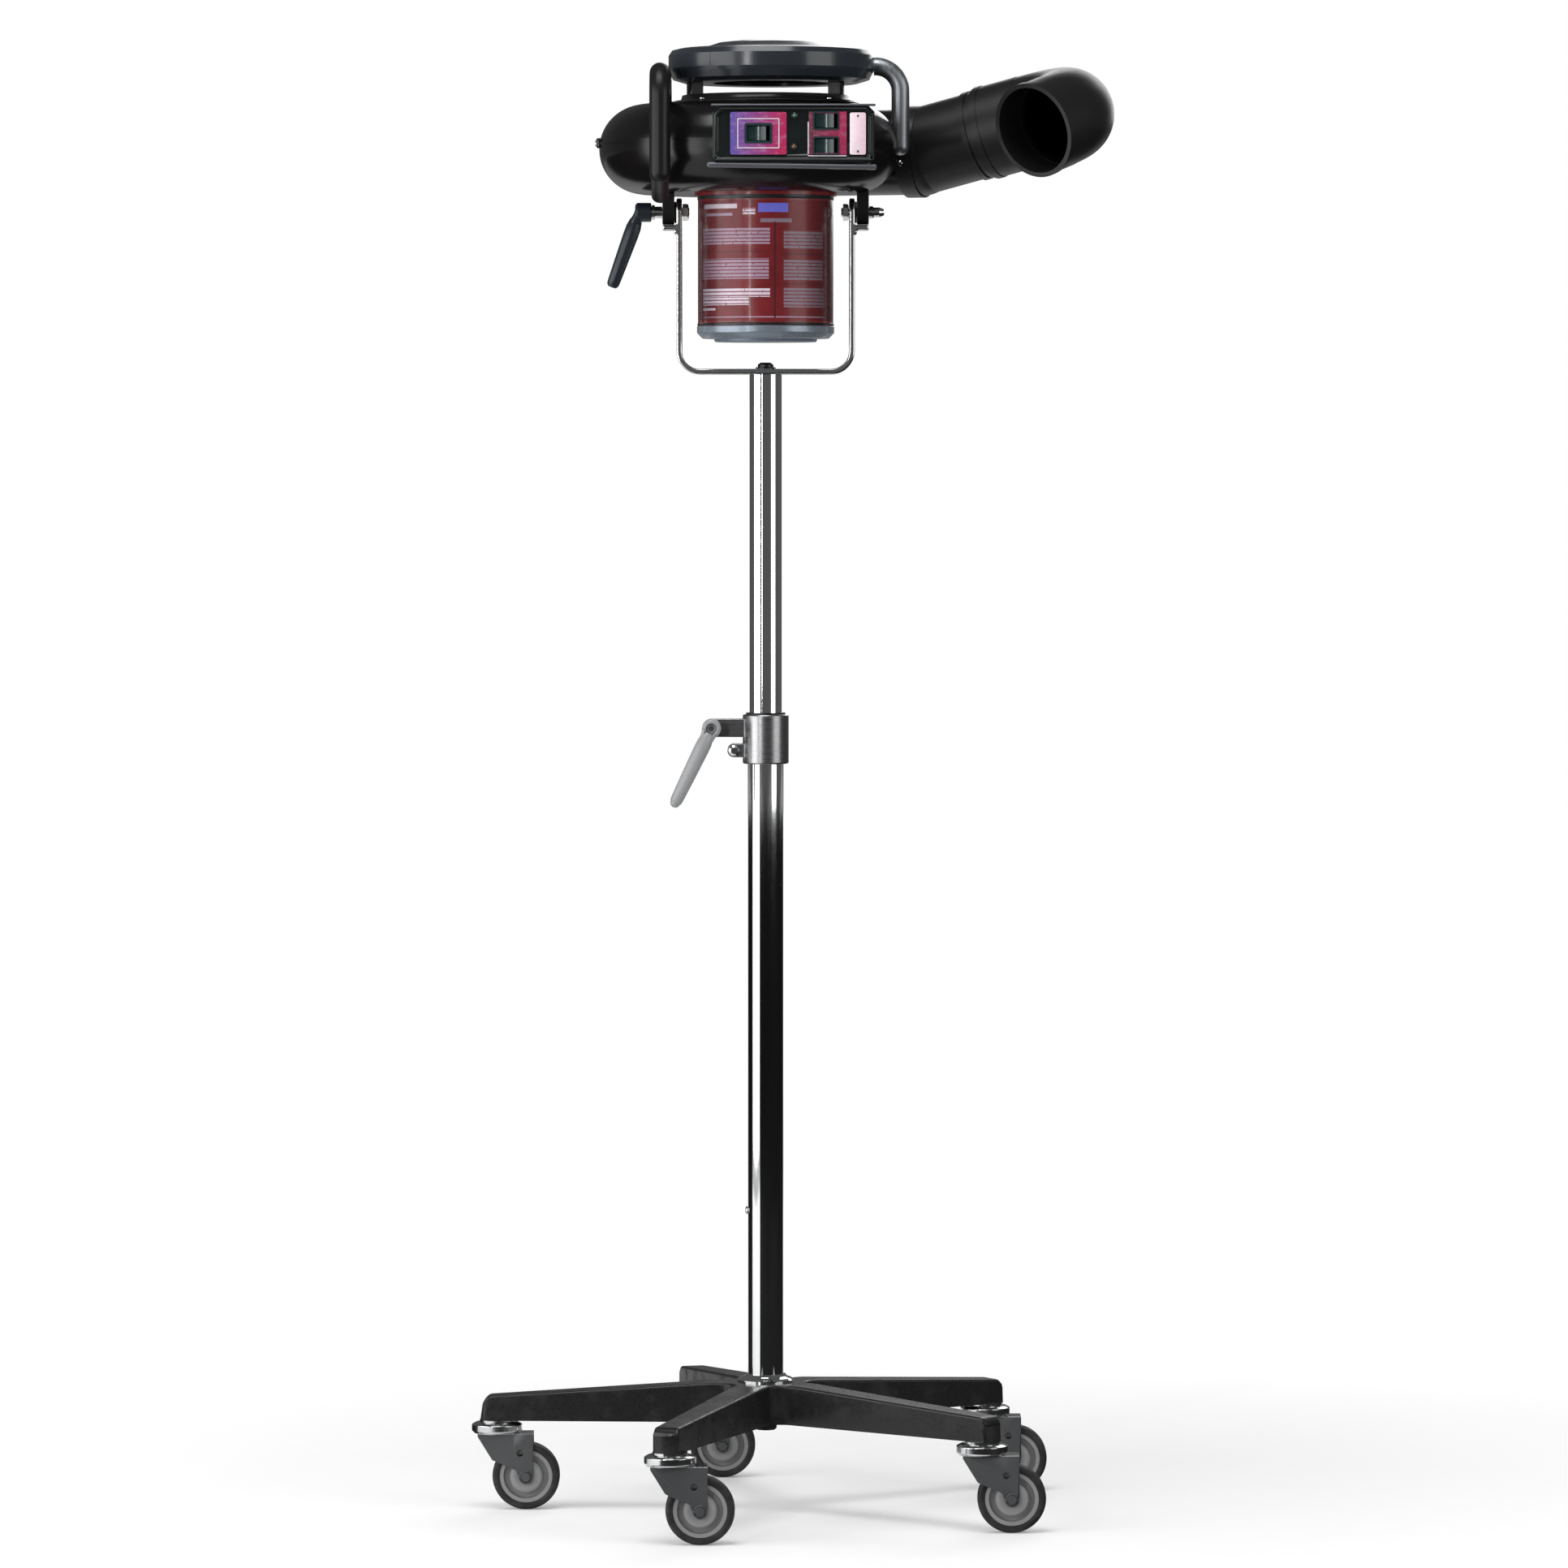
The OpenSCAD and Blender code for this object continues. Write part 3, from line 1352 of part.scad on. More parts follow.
// Heater in the throat: crossed mica boards that carry rings of heating wire
module heater() {
    span = throat_radius - casing_wall - 1;
    color([0.75, 0.7, 0.6]) translate([throat_start[0], throat_start[1], casing_mid]) {
        rotate([0, 0, -duct_turn]) translate([heater_place, 0, 0]) {
            for (turn = [0, 90]) rotate([turn, 0, 0]) translate([0, -heater_board / 2, -span]) {
                cube([heater_length, heater_board, 2 * span]);
            }
            for (along = heater_rings, radius = heater_radii) translate([along, 0, 0]) facing_right() {
                rotate_extrude() translate([radius, 0]) circle(r = heater_wire);
            }
        }
    }
}

// Gland at the back of the can where the supply lead enters, its flange hollowed to the can
module cord_gland() {
    color([0.05, 0.05, 0.05]) difference() {
        translate([0, can_radius - 1, can_top - 30]) rotate([-90, 0, 0]) difference() {
            union() {
                cylinder(r = 9, h = 5.5);
                translate([0, 0, 5]) rotate_extrude() polygon([
                    [0, 0], [7.4, 0], [7.4, 3.5], [6.2, 4.5], [6.2, 12.5], [5.2, 14.5], [0, 14.5]
                ]);
            }
            translate([0, 0, 6.5]) cylinder(r = 4, h = 20);
        }
        translate([0, 0, can_bottom]) cylinder(r = can_radius, h = can_height);
    }
}

// Screws that hold the housing's halves, the panel's side and the handle's foot
module casing_screws() {
    color([0.78, 0.78, 0.8]) {
        for (turn = [45, 135, 225, 315]) rotate([0, 0, turn]) {
            translate([ring_screw_reach, 0, ring_bottom + 2]) pan_screw(2.4, 1.5, ring_screw_radius, 1.9);
        }
    }
}

base_spider();
pole_ring();
pole_bolt();
lower_tube();
tube_button();
guide_bush();
clamp_collar();
collar_screw();
clamp_stud();
clamp_lever();
clamp_lever_screw();
caster_stems();
tube_glide();
upper_tube();
yoke();
yoke_bolt();
pivot_bolt();
friction_washers();
tilt_stud();
tilt_lever();
tilt_lever_screw();
lower_casing();
upper_casing();
casing_screws();
pivot_ears();
motor_can();
end_cap();
stator();
bearings();
rotor_shaft();
impeller();
intake_ring();
intake_grille();
intake_cover();
carry_handle();
side_grip();
control_panel();
power_rocker();
heat_rocker();
speed_rocker();
outlet_duct();
swivel_nozzle();
nozzle_tip();
heater();
cord_gland();
fork_1();
wheel_1();
tyre_1();
fork_2();
wheel_2();
tyre_2();
fork_3();
wheel_3();
tyre_3();
fork_4();
wheel_4();
tyre_4();
fork_5();
wheel_5();
tyre_5();
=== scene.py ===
"""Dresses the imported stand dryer: finishes, rounded copies of its nodes, fine parts, studio and camera."""

import json
import logging
import math
from collections.abc import Iterable, Sequence
from dataclasses import dataclass
from enum import Enum
from typing import ClassVar

import bmesh
import bpy
from mathutils import Matrix, Vector


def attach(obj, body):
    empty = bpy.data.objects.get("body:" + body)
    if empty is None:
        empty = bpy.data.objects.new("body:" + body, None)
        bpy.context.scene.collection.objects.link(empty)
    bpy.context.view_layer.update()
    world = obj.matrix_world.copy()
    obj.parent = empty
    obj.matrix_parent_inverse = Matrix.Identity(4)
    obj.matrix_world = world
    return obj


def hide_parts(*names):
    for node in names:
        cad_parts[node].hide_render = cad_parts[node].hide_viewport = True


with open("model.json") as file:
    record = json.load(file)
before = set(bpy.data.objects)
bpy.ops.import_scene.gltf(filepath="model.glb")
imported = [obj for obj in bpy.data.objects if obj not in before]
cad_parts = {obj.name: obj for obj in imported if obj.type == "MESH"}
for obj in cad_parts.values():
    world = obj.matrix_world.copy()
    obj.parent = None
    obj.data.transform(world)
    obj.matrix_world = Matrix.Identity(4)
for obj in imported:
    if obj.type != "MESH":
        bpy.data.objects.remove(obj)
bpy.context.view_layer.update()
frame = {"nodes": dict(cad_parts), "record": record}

MM = 0.001
FULL_TURN = 2 * math.pi
log = logging.getLogger("dryer")

Socket = bpy.types.NodeSocket
Pair = tuple[float, float]
Point = tuple[float, float, float]
Colour = tuple[float, float, float]
Profile = Sequence[Pair]

# Places of the colour mix's inputs and output among the Mix node's sockets
MIX_FIRST, MIX_SECOND, MIX_RESULT = 6, 7, 2
CASTER_NUMBERS = range(1, 6)
FIRST_LEG = -110.0
LEG_STEP = 72.0


# ---- shaders


class Grain(Enum):
    """Direction of the fine lines that a metal's finish shows."""

    NONE = (1.0, 1.0, 1.0)
    DRAWN = (420.0, 420.0, 2.5)
    TURNED = (3.0, 3.0, 900.0)
    CAST = (340.0, 340.0, 340.0)


class ShaderGraph:
    """A material's node tree with one Principled shader, and short ways to add nodes to it."""

    def __init__(self, name: str) -> None:
        """Starts the material of that name."""
        self.material = bpy.data.materials.new(name)
        self.material.use_nodes = True
        self.tree = self.material.node_tree
        self.shader = self.tree.nodes["Principled BSDF"]

    def join(self, source: object, target: Socket) -> None:
        """Gives an input its source: an output to link, a colour or vector, or one number."""
        if isinstance(source, Socket):
            self.tree.links.new(source, target)
        else:
            target.default_value = (*source, 1.0) if target.type == "RGBA" else source

    def node(self, kind: str, output: int | str, inputs: dict[int | str, object], **settings: str) -> Socket:
        """Adds a node.

        Args:
            kind: the node's type.
            output: which of its outputs is wanted.
            inputs: sources for its inputs, each an output, a colour, a vector or a number.
            settings: attributes of the node.

        Returns:
            The wanted output.
        """
        node = self.tree.nodes.new(kind)
        for key, value in settings.items():
            setattr(node, key, value)
        for key, source in inputs.items():
            self.join(source, node.inputs[key])
        return node.outputs[output]

    def fixed(self, **values: float | Colour) -> "ShaderGraph":
        """Sets values on the shader's own sockets.

        Args:
            values: socket names with underscores for spaces, and their values.

        Returns:
            The same graph.
        """
        for key, value in values.items():
            self.join(value, self.shader.inputs[key.replace("_", " ")])
        return self

    def place(self, stretch: Point = (1, 1, 1)) -> Socket:
        """Object coordinates, stretched along each axis."""
        where = self.node("ShaderNodeTexCoord", "Object", {})
        return self.node("ShaderNodeMapping", "Vector", {"Vector": where, "Scale": stretch})

    def axis(self, vector: Socket, name: str) -> Socket:
        """One coordinate of a position: X, Y or Z."""
        return self.node("ShaderNodeSeparateXYZ", name, {0: vector})

    def noise(self, vector: Socket, scale: float, detail: float = 4, rough: float = 0.55) -> Socket:
        """A noise value from 0 to 1, by repeats per metre, octaves and share of the fine octaves."""
        inputs = {"Vector": vector, "Scale": scale, "Detail": detail, "Roughness": rough}
        return self.node("ShaderNodeTexNoise", "Fac", inputs)

    def span(self, value: Socket, low: float, high: float, start: float = 0.3, end: float = 0.7) -> Socket:
        """Maps a value from start..end to low..high, held at both ends."""
        inputs = {"Value": value, "From Min": start, "From Max": end, "To Min": low, "To Max": high}
        return self.node("ShaderNodeMapRange", "Result", inputs)

    def blend(self, share: Socket, first: object, second: object) -> Socket:
        """Mixes two colours, each a socket or three numbers, by the share of the second."""
        inputs = {"Factor": share, MIX_FIRST: first, MIX_SECOND: second}
        return self.node("ShaderNodeMix", MIX_RESULT, inputs, data_type="RGBA")

    def sum(self, operation: str, first: object, second: object) -> Socket:
        """A Math node of that operation on two sockets or numbers."""
        return self.node("ShaderNodeMath", 0, {0: first, 1: second}, operation=operation)

    def colour(self, source: Socket) -> None:
        """Joins a colour to the shader."""
        self.join(source, self.shader.inputs["Base Color"])

    def roughness(self, source: Socket) -> None:
        """Joins a roughness to the shader."""
        self.join(source, self.shader.inputs["Roughness"])

    def bump(self, height: Socket, depth: float, strength: float = 0.5) -> None:
        """Joins a bump to the shader, on top of any that is there.

        Args:
            height: value from 0 to 1.
            depth: millimetres from 0 to 1.
            strength: share that shows.
        """
        inputs = {"Strength": strength, "Distance": depth * MM, "Height": height}
        normal = self.shader.inputs["Normal"]
        if normal.is_linked:
            inputs["Normal"] = normal.links[0].from_socket
        self.join(self.node("ShaderNodeBump", "Normal", inputs), normal)


@dataclass(frozen=True)
class Finish:
    """A surface finish that makes its material once.

    Args:
        name: the material's name.
    """

    made: ClassVar[dict[str, bpy.types.Material]] = {}
    name: str

    def graph(self) -> ShaderGraph:
        """Builds the finish's node tree."""
        raise NotImplementedError

    def material(self) -> bpy.types.Material:
        """The material, made at the first call."""
        if self.name not in self.made:
            self.made[self.name] = self.graph().material
        return self.made[self.name]


@dataclass(frozen=True)
class Moulded(Finish):
    """Injection-moulded plastic with spark-eroded grain, flow marks and light handling marks.

    Args:
        colour: its colour.
        roughness: middle roughness.
        grain: grains per metre.
        depth: depth of the grain in millimetres.
        haze: how far the roughness wanders.
        gloss: specular level.
    """

    colour: Colour
    roughness: float = 0.34
    grain: float = 1500
    depth: float = 0.05
    haze: float = 0.05
    gloss: float = 0.5

    def graph(self) -> ShaderGraph:
        """Builds the finish's node tree."""
        g = ShaderGraph(self.name).fixed(Specular_IOR_Level=self.gloss)
        where = g.place()
        flow = g.noise(where, 9, 3)
        fine = g.noise(where, self.grain, 3, 0.6)
        pale = tuple(c * 1.3 + 0.002 for c in self.colour)
        dark = tuple(c * 0.8 for c in self.colour)
        g.colour(g.blend(g.span(fine, 0, 0.5), g.blend(g.span(flow, 0, 1), dark, self.colour), pale))
        marks = g.noise(g.place((40, 40, 260)), 1, 5, 0.7)
        rough = g.span(flow, self.roughness - self.haze, self.roughness + self.haze)
        g.roughness(g.sum("ADD", rough, g.span(marks, 0, 0.05, 0.55, 0.75)))
        g.bump(fine, self.depth, 0.45)
        g.bump(g.noise(where, 26, 2), 0.12, 0.35)
        return g


@dataclass(frozen=True)
class Coated(Finish):
    """Powder coat or paint on metal, with orange peel, dust in the hollows and rubbed high spots.

    Args:
        colour: the paint's colour.
        roughness: middle roughness.
        peel: bumps of the orange peel per metre.
        depth: depth of the peel in millimetres.
        metallic: share of metal flake.
        gloss: specular level.
    """

    colour: Colour
    roughness: float = 0.36
    peel: float = 520
    depth: float = 0.08
    metallic: float = 0.0
    gloss: float = 0.5

    def graph(self) -> ShaderGraph:
        """Builds the finish's node tree."""
        g = ShaderGraph(self.name).fixed(Metallic=self.metallic, Specular_IOR_Level=self.gloss)
        where = g.place()
        peel = g.noise(where, self.peel, 2, 0.4)
        dust = g.span(g.noise(where, 34, 5, 0.65), 0, 0.35, 0.5, 0.8)
        dusty = tuple(c * 0.9 + 0.012 for c in self.colour)
        rubbed = g.span(g.noise(g.place((60, 60, 14)), 1, 5, 0.7), 0, 0.3, 0.62, 0.8)
        bright = tuple(c * 1.2 + 0.004 for c in self.colour)
        g.colour(g.blend(rubbed, g.blend(dust, self.colour, dusty), bright))
        g.roughness(g.sum("ADD", g.span(peel, self.roughness - 0.05, self.roughness + 0.05), dust))
        g.bump(peel, self.depth, 0.4)
        return g


@dataclass(frozen=True)
class Metal(Finish):
    """Bare or plated metal with the fine lines of its making and a few rubs.

    Args:
        colour: its reflection colour.
        roughness: middle roughness.
        grain: how it was made.
        depth: depth of the lines in millimetres.
        stain: how dark the cloudy stains are.
    """

    colour: Colour
    roughness: float = 0.25
    grain: Grain = Grain.NONE
    depth: float = 0.01
    stain: float = 0.12

    def graph(self) -> ShaderGraph:
        """Builds the finish's node tree."""
        g = ShaderGraph(self.name).fixed(Metallic=1.0)
        where = g.place()
        lines = g.noise(g.place(self.grain.value), 1 if self.grain is not Grain.NONE else 700, 4, 0.6)
        cloud = g.noise(where, 22, 4, 0.6)
        stained = tuple(c * (1 - self.stain) for c in self.colour)
        g.colour(g.blend(g.span(cloud, 0, 1, 0.4, 0.7), self.colour, stained))
        wander = g.span(lines, self.roughness * 0.75, self.roughness * 1.3)
        rubs = g.span(g.noise(where, 85, 6, 0.75), 0, 0.06, 0.6, 0.75)
        g.roughness(g.sum("ADD", wander, rubs))
        g.bump(lines, self.depth, 0.3)
        return g


@dataclass(frozen=True)
class Rubber(Finish):
    """Tyre rubber with dust worked into it."""

    colour: Colour = (0.012, 0.012, 0.013)
    dust: Colour = (0.11, 0.105, 0.1)

    def graph(self) -> ShaderGraph:
        """Builds the finish's node tree."""
        g = ShaderGraph(self.name).fixed(Specular_IOR_Level=0.35)
        where = g.place()
        film = g.span(g.noise(where, 60, 6, 0.7), 0.02, 0.35, 0.45, 0.8)
        fine = g.noise(where, 1300, 3)
        g.colour(g.blend(film, self.colour, self.dust))
        g.roughness(g.span(fine, 0.5, 0.72))
        g.bump(fine, 0.08, 0.5)
        return g


@dataclass(frozen=True)
class Lens(Finish):
    """Clear coloured plastic of a small indicator lamp."""

    colour: Colour

    def graph(self) -> ShaderGraph:
        """Builds the finish's node tree."""
        g = ShaderGraph(self.name).fixed(Coat_Weight=0.6, Coat_Roughness=0.03, IOR=1.49)
        cells = g.noise(g.place(), 2600, 2)
        g.colour(g.blend(cells, tuple(c * 0.5 for c in self.colour), self.colour))
        g.roughness(g.span(cells, 0.12, 0.22))
        g.bump(cells, 0.05, 0.4)
        return g


# ---- finishes of this dryer

BLACK_POWDER = Coated("black_powder_coat", (0.011, 0.011, 0.0115), 0.3, gloss=0.4)
CHROME = Metal("chrome_plate", (0.86, 0.87, 0.88), 0.045, Grain.NONE, 0.004, 0.05)
SATIN_COLLAR = Metal("satin_collar_metal", (0.4, 0.4, 0.41), 0.3, Grain.TURNED, 0.003)
ZINC = Metal("zinc_plate", (0.78, 0.79, 0.8), 0.16, Grain.NONE, 0.01, 0.16)
STAINLESS = Metal("stainless_insert", (0.8, 0.8, 0.79), 0.2, Grain.DRAWN, 0.01, 0.06)
NICKEL_STRIP = Metal("nickel_strip", (0.84, 0.84, 0.83), 0.17, Grain.DRAWN, 0.012, 0.07)
BLACK_OXIDE = Metal("black_oxide_steel", (0.05, 0.05, 0.055), 0.36, Grain.NONE, 0.02, 0.3)
BEARING_STEEL = Metal("bearing_steel", (0.7, 0.7, 0.71), 0.14, Grain.TURNED, 0.005, 0.05)
CORE_STEEL = Metal("core_steel", (0.36, 0.35, 0.34), 0.42, Grain.TURNED, 0.05, 0.2)
FAN_ALUMINIUM = Metal("fan_aluminium", (0.74, 0.75, 0.76), 0.3, Grain.CAST, 0.03, 0.1)
HANDLE_TUBE = Metal("painted_handle_tube", (0.4, 0.42, 0.445), 0.42, Grain.DRAWN, 0.01, 0.08)
CLAMP_GREY = Moulded("clamp_grey_nylon", (0.26, 0.265, 0.27), 0.33, depth=0.05)
TILT_BLACK = Moulded("tilt_black_nylon", (0.014, 0.019, 0.026), 0.3, depth=0.07, gloss=0.4)
BLACK_NYLON = Moulded("black_nylon", (0.008, 0.008, 0.009), 0.4, gloss=0.3)
HOUSING_BLACK = Moulded("housing_black", (0.0048, 0.0042, 0.0043), 0.2, gloss=0.34)
EAR_BLACK = Moulded("ear_black", (0.006, 0.006, 0.007), 0.36, gloss=0.25)
CAN_RED = Coated("can_red_lacquer", (0.15, 0.012, 0.015), 0.25, 420, 0.03, gloss=0.5)
CAP_BLUE_GREY = Coated("cap_blue_grey", (0.2, 0.235, 0.28), 0.3, 480, 0.04, metallic=0.5)
COVER_SLATE = Moulded("cover_slate", (0.02, 0.024, 0.03), 0.2, depth=0.03, gloss=0.45)
RING_BLACK = Moulded("intake_ring_black", (0.01, 0.0105, 0.011), 0.24, gloss=0.45)
# Paler than the housing as a painted highlight along the console's edges, on top of the lips' real high
# gloss.
CONSOLE_LIP_PAINTED_HIGHLIGHT = Moulded("console_lip_painted_highlight", (0.06, 0.064, 0.075), 0.2, 1700, 0.03, gloss=0.95)
GRIP_BLACK = Moulded("grip_black", (0.007, 0.007, 0.0075), 0.36, 900, 0.1, gloss=0.25)
PANEL_BLACK = Moulded("panel_black", (0.007, 0.009, 0.009), 0.22, 1700, 0.03, gloss=0.4)
ROCKER_BLACK = Moulded("rocker_black", (0.012, 0.03, 0.033), 0.2, 2000, 0.02, gloss=0.5)
DUCT_BLACK = Moulded("duct_black", (0.0075, 0.0075, 0.008), 0.36, 1300, 0.05, gloss=0.42)
MICA = Moulded("heater_mica", (0.3, 0.27, 0.2), 0.5)
FORK_GREY = Moulded("fork_grey", (0.06, 0.062, 0.064), 0.32, depth=0.06, gloss=0.5)
WHEEL_GREY = Moulded("wheel_grey", (0.24, 0.24, 0.245), 0.36, depth=0.06)
TYRE = Rubber("tyre_black")

# The nodes of each finish, and those that every caster has, before their number
FINISHED: dict[Finish, str] = {
    BLACK_POWDER: "base_spider",
    CHROME: "pole_ring lower_tube upper_tube",
    BLACK_OXIDE: "pole_bolt yoke_bolt",
    ZINC: (
        "tube_button collar_screw clamp_lever_screw caster_stems pivot_bolt "
        "tilt_lever_screw casing_screws"
    ),
    BLACK_NYLON: "guide_bush tube_glide friction_washers intake_grille cord_gland",
    SATIN_COLLAR: "clamp_collar",
    STAINLESS: "clamp_stud tilt_stud",
    CLAMP_GREY: "clamp_lever",
    NICKEL_STRIP: "yoke",
    TILT_BLACK: "tilt_lever",
    HOUSING_BLACK: "lower_casing upper_casing",
    EAR_BLACK: "pivot_ears",
    CAN_RED: "motor_can",
    CAP_BLUE_GREY: "end_cap",
    CORE_STEEL: "stator",
    BEARING_STEEL: "bearings rotor_shaft",
    FAN_ALUMINIUM: "impeller",
    RING_BLACK: "intake_ring",
    COVER_SLATE: "intake_cover",
    HANDLE_TUBE: "carry_handle",
    GRIP_BLACK: "side_grip",
    PANEL_BLACK: "control_panel",
    ROCKER_BLACK: "power_rocker heat_rocker speed_rocker",
    DUCT_BLACK: "outlet_duct swivel_nozzle nozzle_tip",
    MICA: "heater",
}
CASTER_FINISHES: dict[str, Finish] = {"fork": FORK_GREY, "wheel": WHEEL_GREY, "tyre": TYRE}
NODE_FINISH: dict[str, Finish] = {
    **{node: finish for finish, nodes in FINISHED.items() for node in nodes.split()},
    **{f"{kind}_{n}": finish for n in CASTER_NUMBERS for kind, finish in CASTER_FINISHES.items()},
}


# ---- shapes


def spin_about_z(bm: bmesh.types.BMesh, geom: list, angle: float, steps: int, merge: bool = False) -> None:
    """Spins points and edges about the Z axis, and merges the last ring with the first if asked."""
    bmesh.ops.spin(
        bm, geom=geom, cent=(0, 0, 0), axis=(0, 0, 1), angle=angle, steps=steps,
        use_merge=merge, use_duplicate=False,
    )


class Piece:
    """A mesh under construction in millimetres, shaped by bmesh operators, then hung on a body."""

    def __init__(self, name: str) -> None:
        """Starts an empty mesh of that name."""
        self.name = name
        self.bm = bmesh.new()

    def lathe(self, profile: Profile, steps: int) -> "Piece":
        """Spins a closed profile about Z.

        Args:
            profile: radius and height of each point.
            steps: segments of the full turn.

        Returns:
            The same piece.
        """
        points = [self.bm.verts.new((radius, 0, height)) for radius, height in profile]
        edges = [self.bm.edges.new(pair) for pair in zip(points, points[1:] + points[:1])]
        spin_about_z(self.bm, points + edges, FULL_TURN, steps, merge=True)
        return self.clean()

    def block(self, size: Point, rounding: float, segments: int) -> "Piece":
        """A block about the origin with all its edges rounded, by so many faces each."""
        bmesh.ops.create_cube(self.bm, size=1, matrix=Matrix.Diagonal((*size, 1)))
        return self.soften(self.bm.edges[:], rounding, segments)

    def plate(self, width: float, height: float, thick: float, corner: float, edge: float) -> "Piece":
        """A plate in the XZ plane with round corners, its face towards -Y at y = -thick.

        Args:
            width: its length along X.
            height: its length along Z.
            thick: its thickness.
            corner: radius of its corners.
            edge: radius of the edge of its face.

        Returns:
            The same piece.
        """
        box = shifted(0, -thick / 2, 0) @ Matrix.Diagonal((width, thick, height, 1))
        bmesh.ops.create_cube(self.bm, size=1, matrix=box)
        self.soften(self.upright(thick), corner, 6)
        front = [e for e in self.bm.edges if all(v.co.y < -thick * 0.99 for v in e.verts)]
        rim = [e for e in front if len(e.link_faces) == 2 and abs(e.calc_face_angle(0)) > 0.5]
        return self.soften(rim, edge, 2)

    def upright(self, thick: float) -> list[bmesh.types.BMEdge]:
        """The edges that run from back to front of a plate that is so thick."""
        return [e for e in self.bm.edges if abs(e.verts[0].co.y - e.verts[1].co.y) > thick / 2]

    def soften(self, edges: Iterable[bmesh.types.BMEdge], radius: float, segments: int) -> "Piece":
        """Rounds edges to a radius, with so many faces round each."""
        bmesh.ops.bevel(
            self.bm, geom=list(edges), offset=radius, segments=segments, profile=0.5,
            affect="EDGES", material=-1, clamp_overlap=True,
        )
        return self

    def copy_of(self, node: str) -> "Piece":
        """Takes a merged copy of a node's mesh."""
        self.bm.from_mesh(frame["nodes"][node].data)
        bmesh.ops.scale(self.bm, vec=(1 / MM,) * 3, verts=self.bm.verts[:])
        bmesh.ops.remove_doubles(self.bm, verts=self.bm.verts[:], dist=0.004)
        return self

    def everything(self) -> list[object]:
        """All the mesh's points, edges and faces."""
        return self.bm.verts[:] + self.bm.edges[:] + self.bm.faces[:]

    def keep_between(self, low: float, high: float) -> "Piece":
        """Cuts away what lies below one height or above another.

        Args:
            low: the lower height.
            high: the upper height.

        Returns:
            The same piece.
        """
        for height, outside in ((low, -1), (high, 1)):
            bmesh.ops.bisect_plane(
                self.bm, geom=self.everything(), plane_co=(0, 0, height), plane_no=(0, 0, outside),
                clear_outer=True,
            )
        return self

    def clean(self) -> "Piece":
        """Merges doubles and turns every face outwards."""
        bmesh.ops.remove_doubles(self.bm, verts=self.bm.verts[:], dist=0.001)
        loose = [v for v in self.bm.verts if not v.link_faces]
        bmesh.ops.delete(self.bm, geom=loose, context="VERTS")
        bmesh.ops.recalc_face_normals(self.bm, faces=self.bm.faces[:])
        return self

    def move(self, matrix: Matrix) -> "Piece":
        """Turns and shifts the whole mesh."""
        bmesh.ops.transform(self.bm, matrix=matrix, verts=self.bm.verts[:])
        return self

    def repeat(self, places: Iterable[Matrix]) -> "Piece":
        """Puts a copy of the mesh at each place and drops the first one.

        Args:
            places: where the copies go.

        Returns:
            The same piece.
        """
        first = self.everything()
        drop = self.bm.verts[:]
        for place in places:
            made = bmesh.ops.duplicate(self.bm, geom=first)
            bmesh.ops.transform(self.bm, matrix=place, verts=new_verts(made))
        bmesh.ops.delete(self.bm, geom=drop, context="VERTS")
        return self

    def done(self, body: str, finish: Finish, slot: str, angle: float = 32) -> bpy.types.Object:
        """Makes the object, shades it, gives it its finish and hangs it on its body.

        Args:
            body: the body that it rides on.
            finish: its finish.
            slot: a material slot of the record; not used.
            angle: sharper edges than this stay crisp, in degrees.

        Returns:
            The object.
        """
        bmesh.ops.scale(self.bm, vec=(MM,) * 3, verts=self.bm.verts[:])
        made = placed_mesh(self.name, self.bm, finish.material())
        made.data.polygons.foreach_set("use_smooth", [True] * len(made.data.polygons))
        made.data.set_sharp_from_angle(angle=math.radians(angle))
        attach(made, body)
        log.info("%s on %s, %d faces", self.name, body, len(made.data.polygons))
        return made


def placed(name: str, data: bpy.types.ID) -> bpy.types.Object:
    """Puts a new object of that name into the scene."""
    made = bpy.data.objects.new(name, data)
    bpy.context.scene.collection.objects.link(made)
    return made


def placed_mesh(name: str, bm: bmesh.types.BMesh, material: bpy.types.Material) -> bpy.types.Object:
    """Turns a mesh under construction into an object.

    Args:
        name: the object's name.
        bm: its mesh, which is freed.
        material: its material.

    Returns:
        The object.
    """
    mesh = bpy.data.meshes.new(name)
    bm.to_mesh(mesh)
    bm.free()
    mesh.materials.append(material)
    return placed(name, mesh)


def new_verts(made: dict[str, list]) -> list[bmesh.types.BMVert]:
    """The points among what a bmesh operator made."""
    return [item for item in made["geom"] if isinstance(item, bmesh.types.BMVert)]


def shifted(x: float, y: float, z: float) -> Matrix:
    """Matrix that shifts by three lengths."""
    return Matrix.Translation((x, y, z))


def turned(angle: float, axis: str = "Z") -> Matrix:
    """Matrix that turns about an axis by an angle in degrees."""
    return Matrix.Rotation(math.radians(angle), 4, axis)


def along(direction: Sequence[float], place: Sequence[float]) -> Matrix:
    """Matrix that turns +Z to a direction and shifts the origin to a place."""
    return Matrix.Translation(place) @ Vector(direction).to_track_quat("Z", "Y").to_matrix().to_4x4()


def body_of(node: str) -> str:
    """Name of the body that a node rides on."""
    bodies = frame["record"]["behaviour"]["bodies"]
    return next(body for body, nodes in bodies.items() if node in nodes)


def slot_of(node: str) -> str:
    """Name of the material slot that a node belongs to."""
    return next(s["material_slot"] for s in frame["record"]["subparts"] if s["node"] == node)


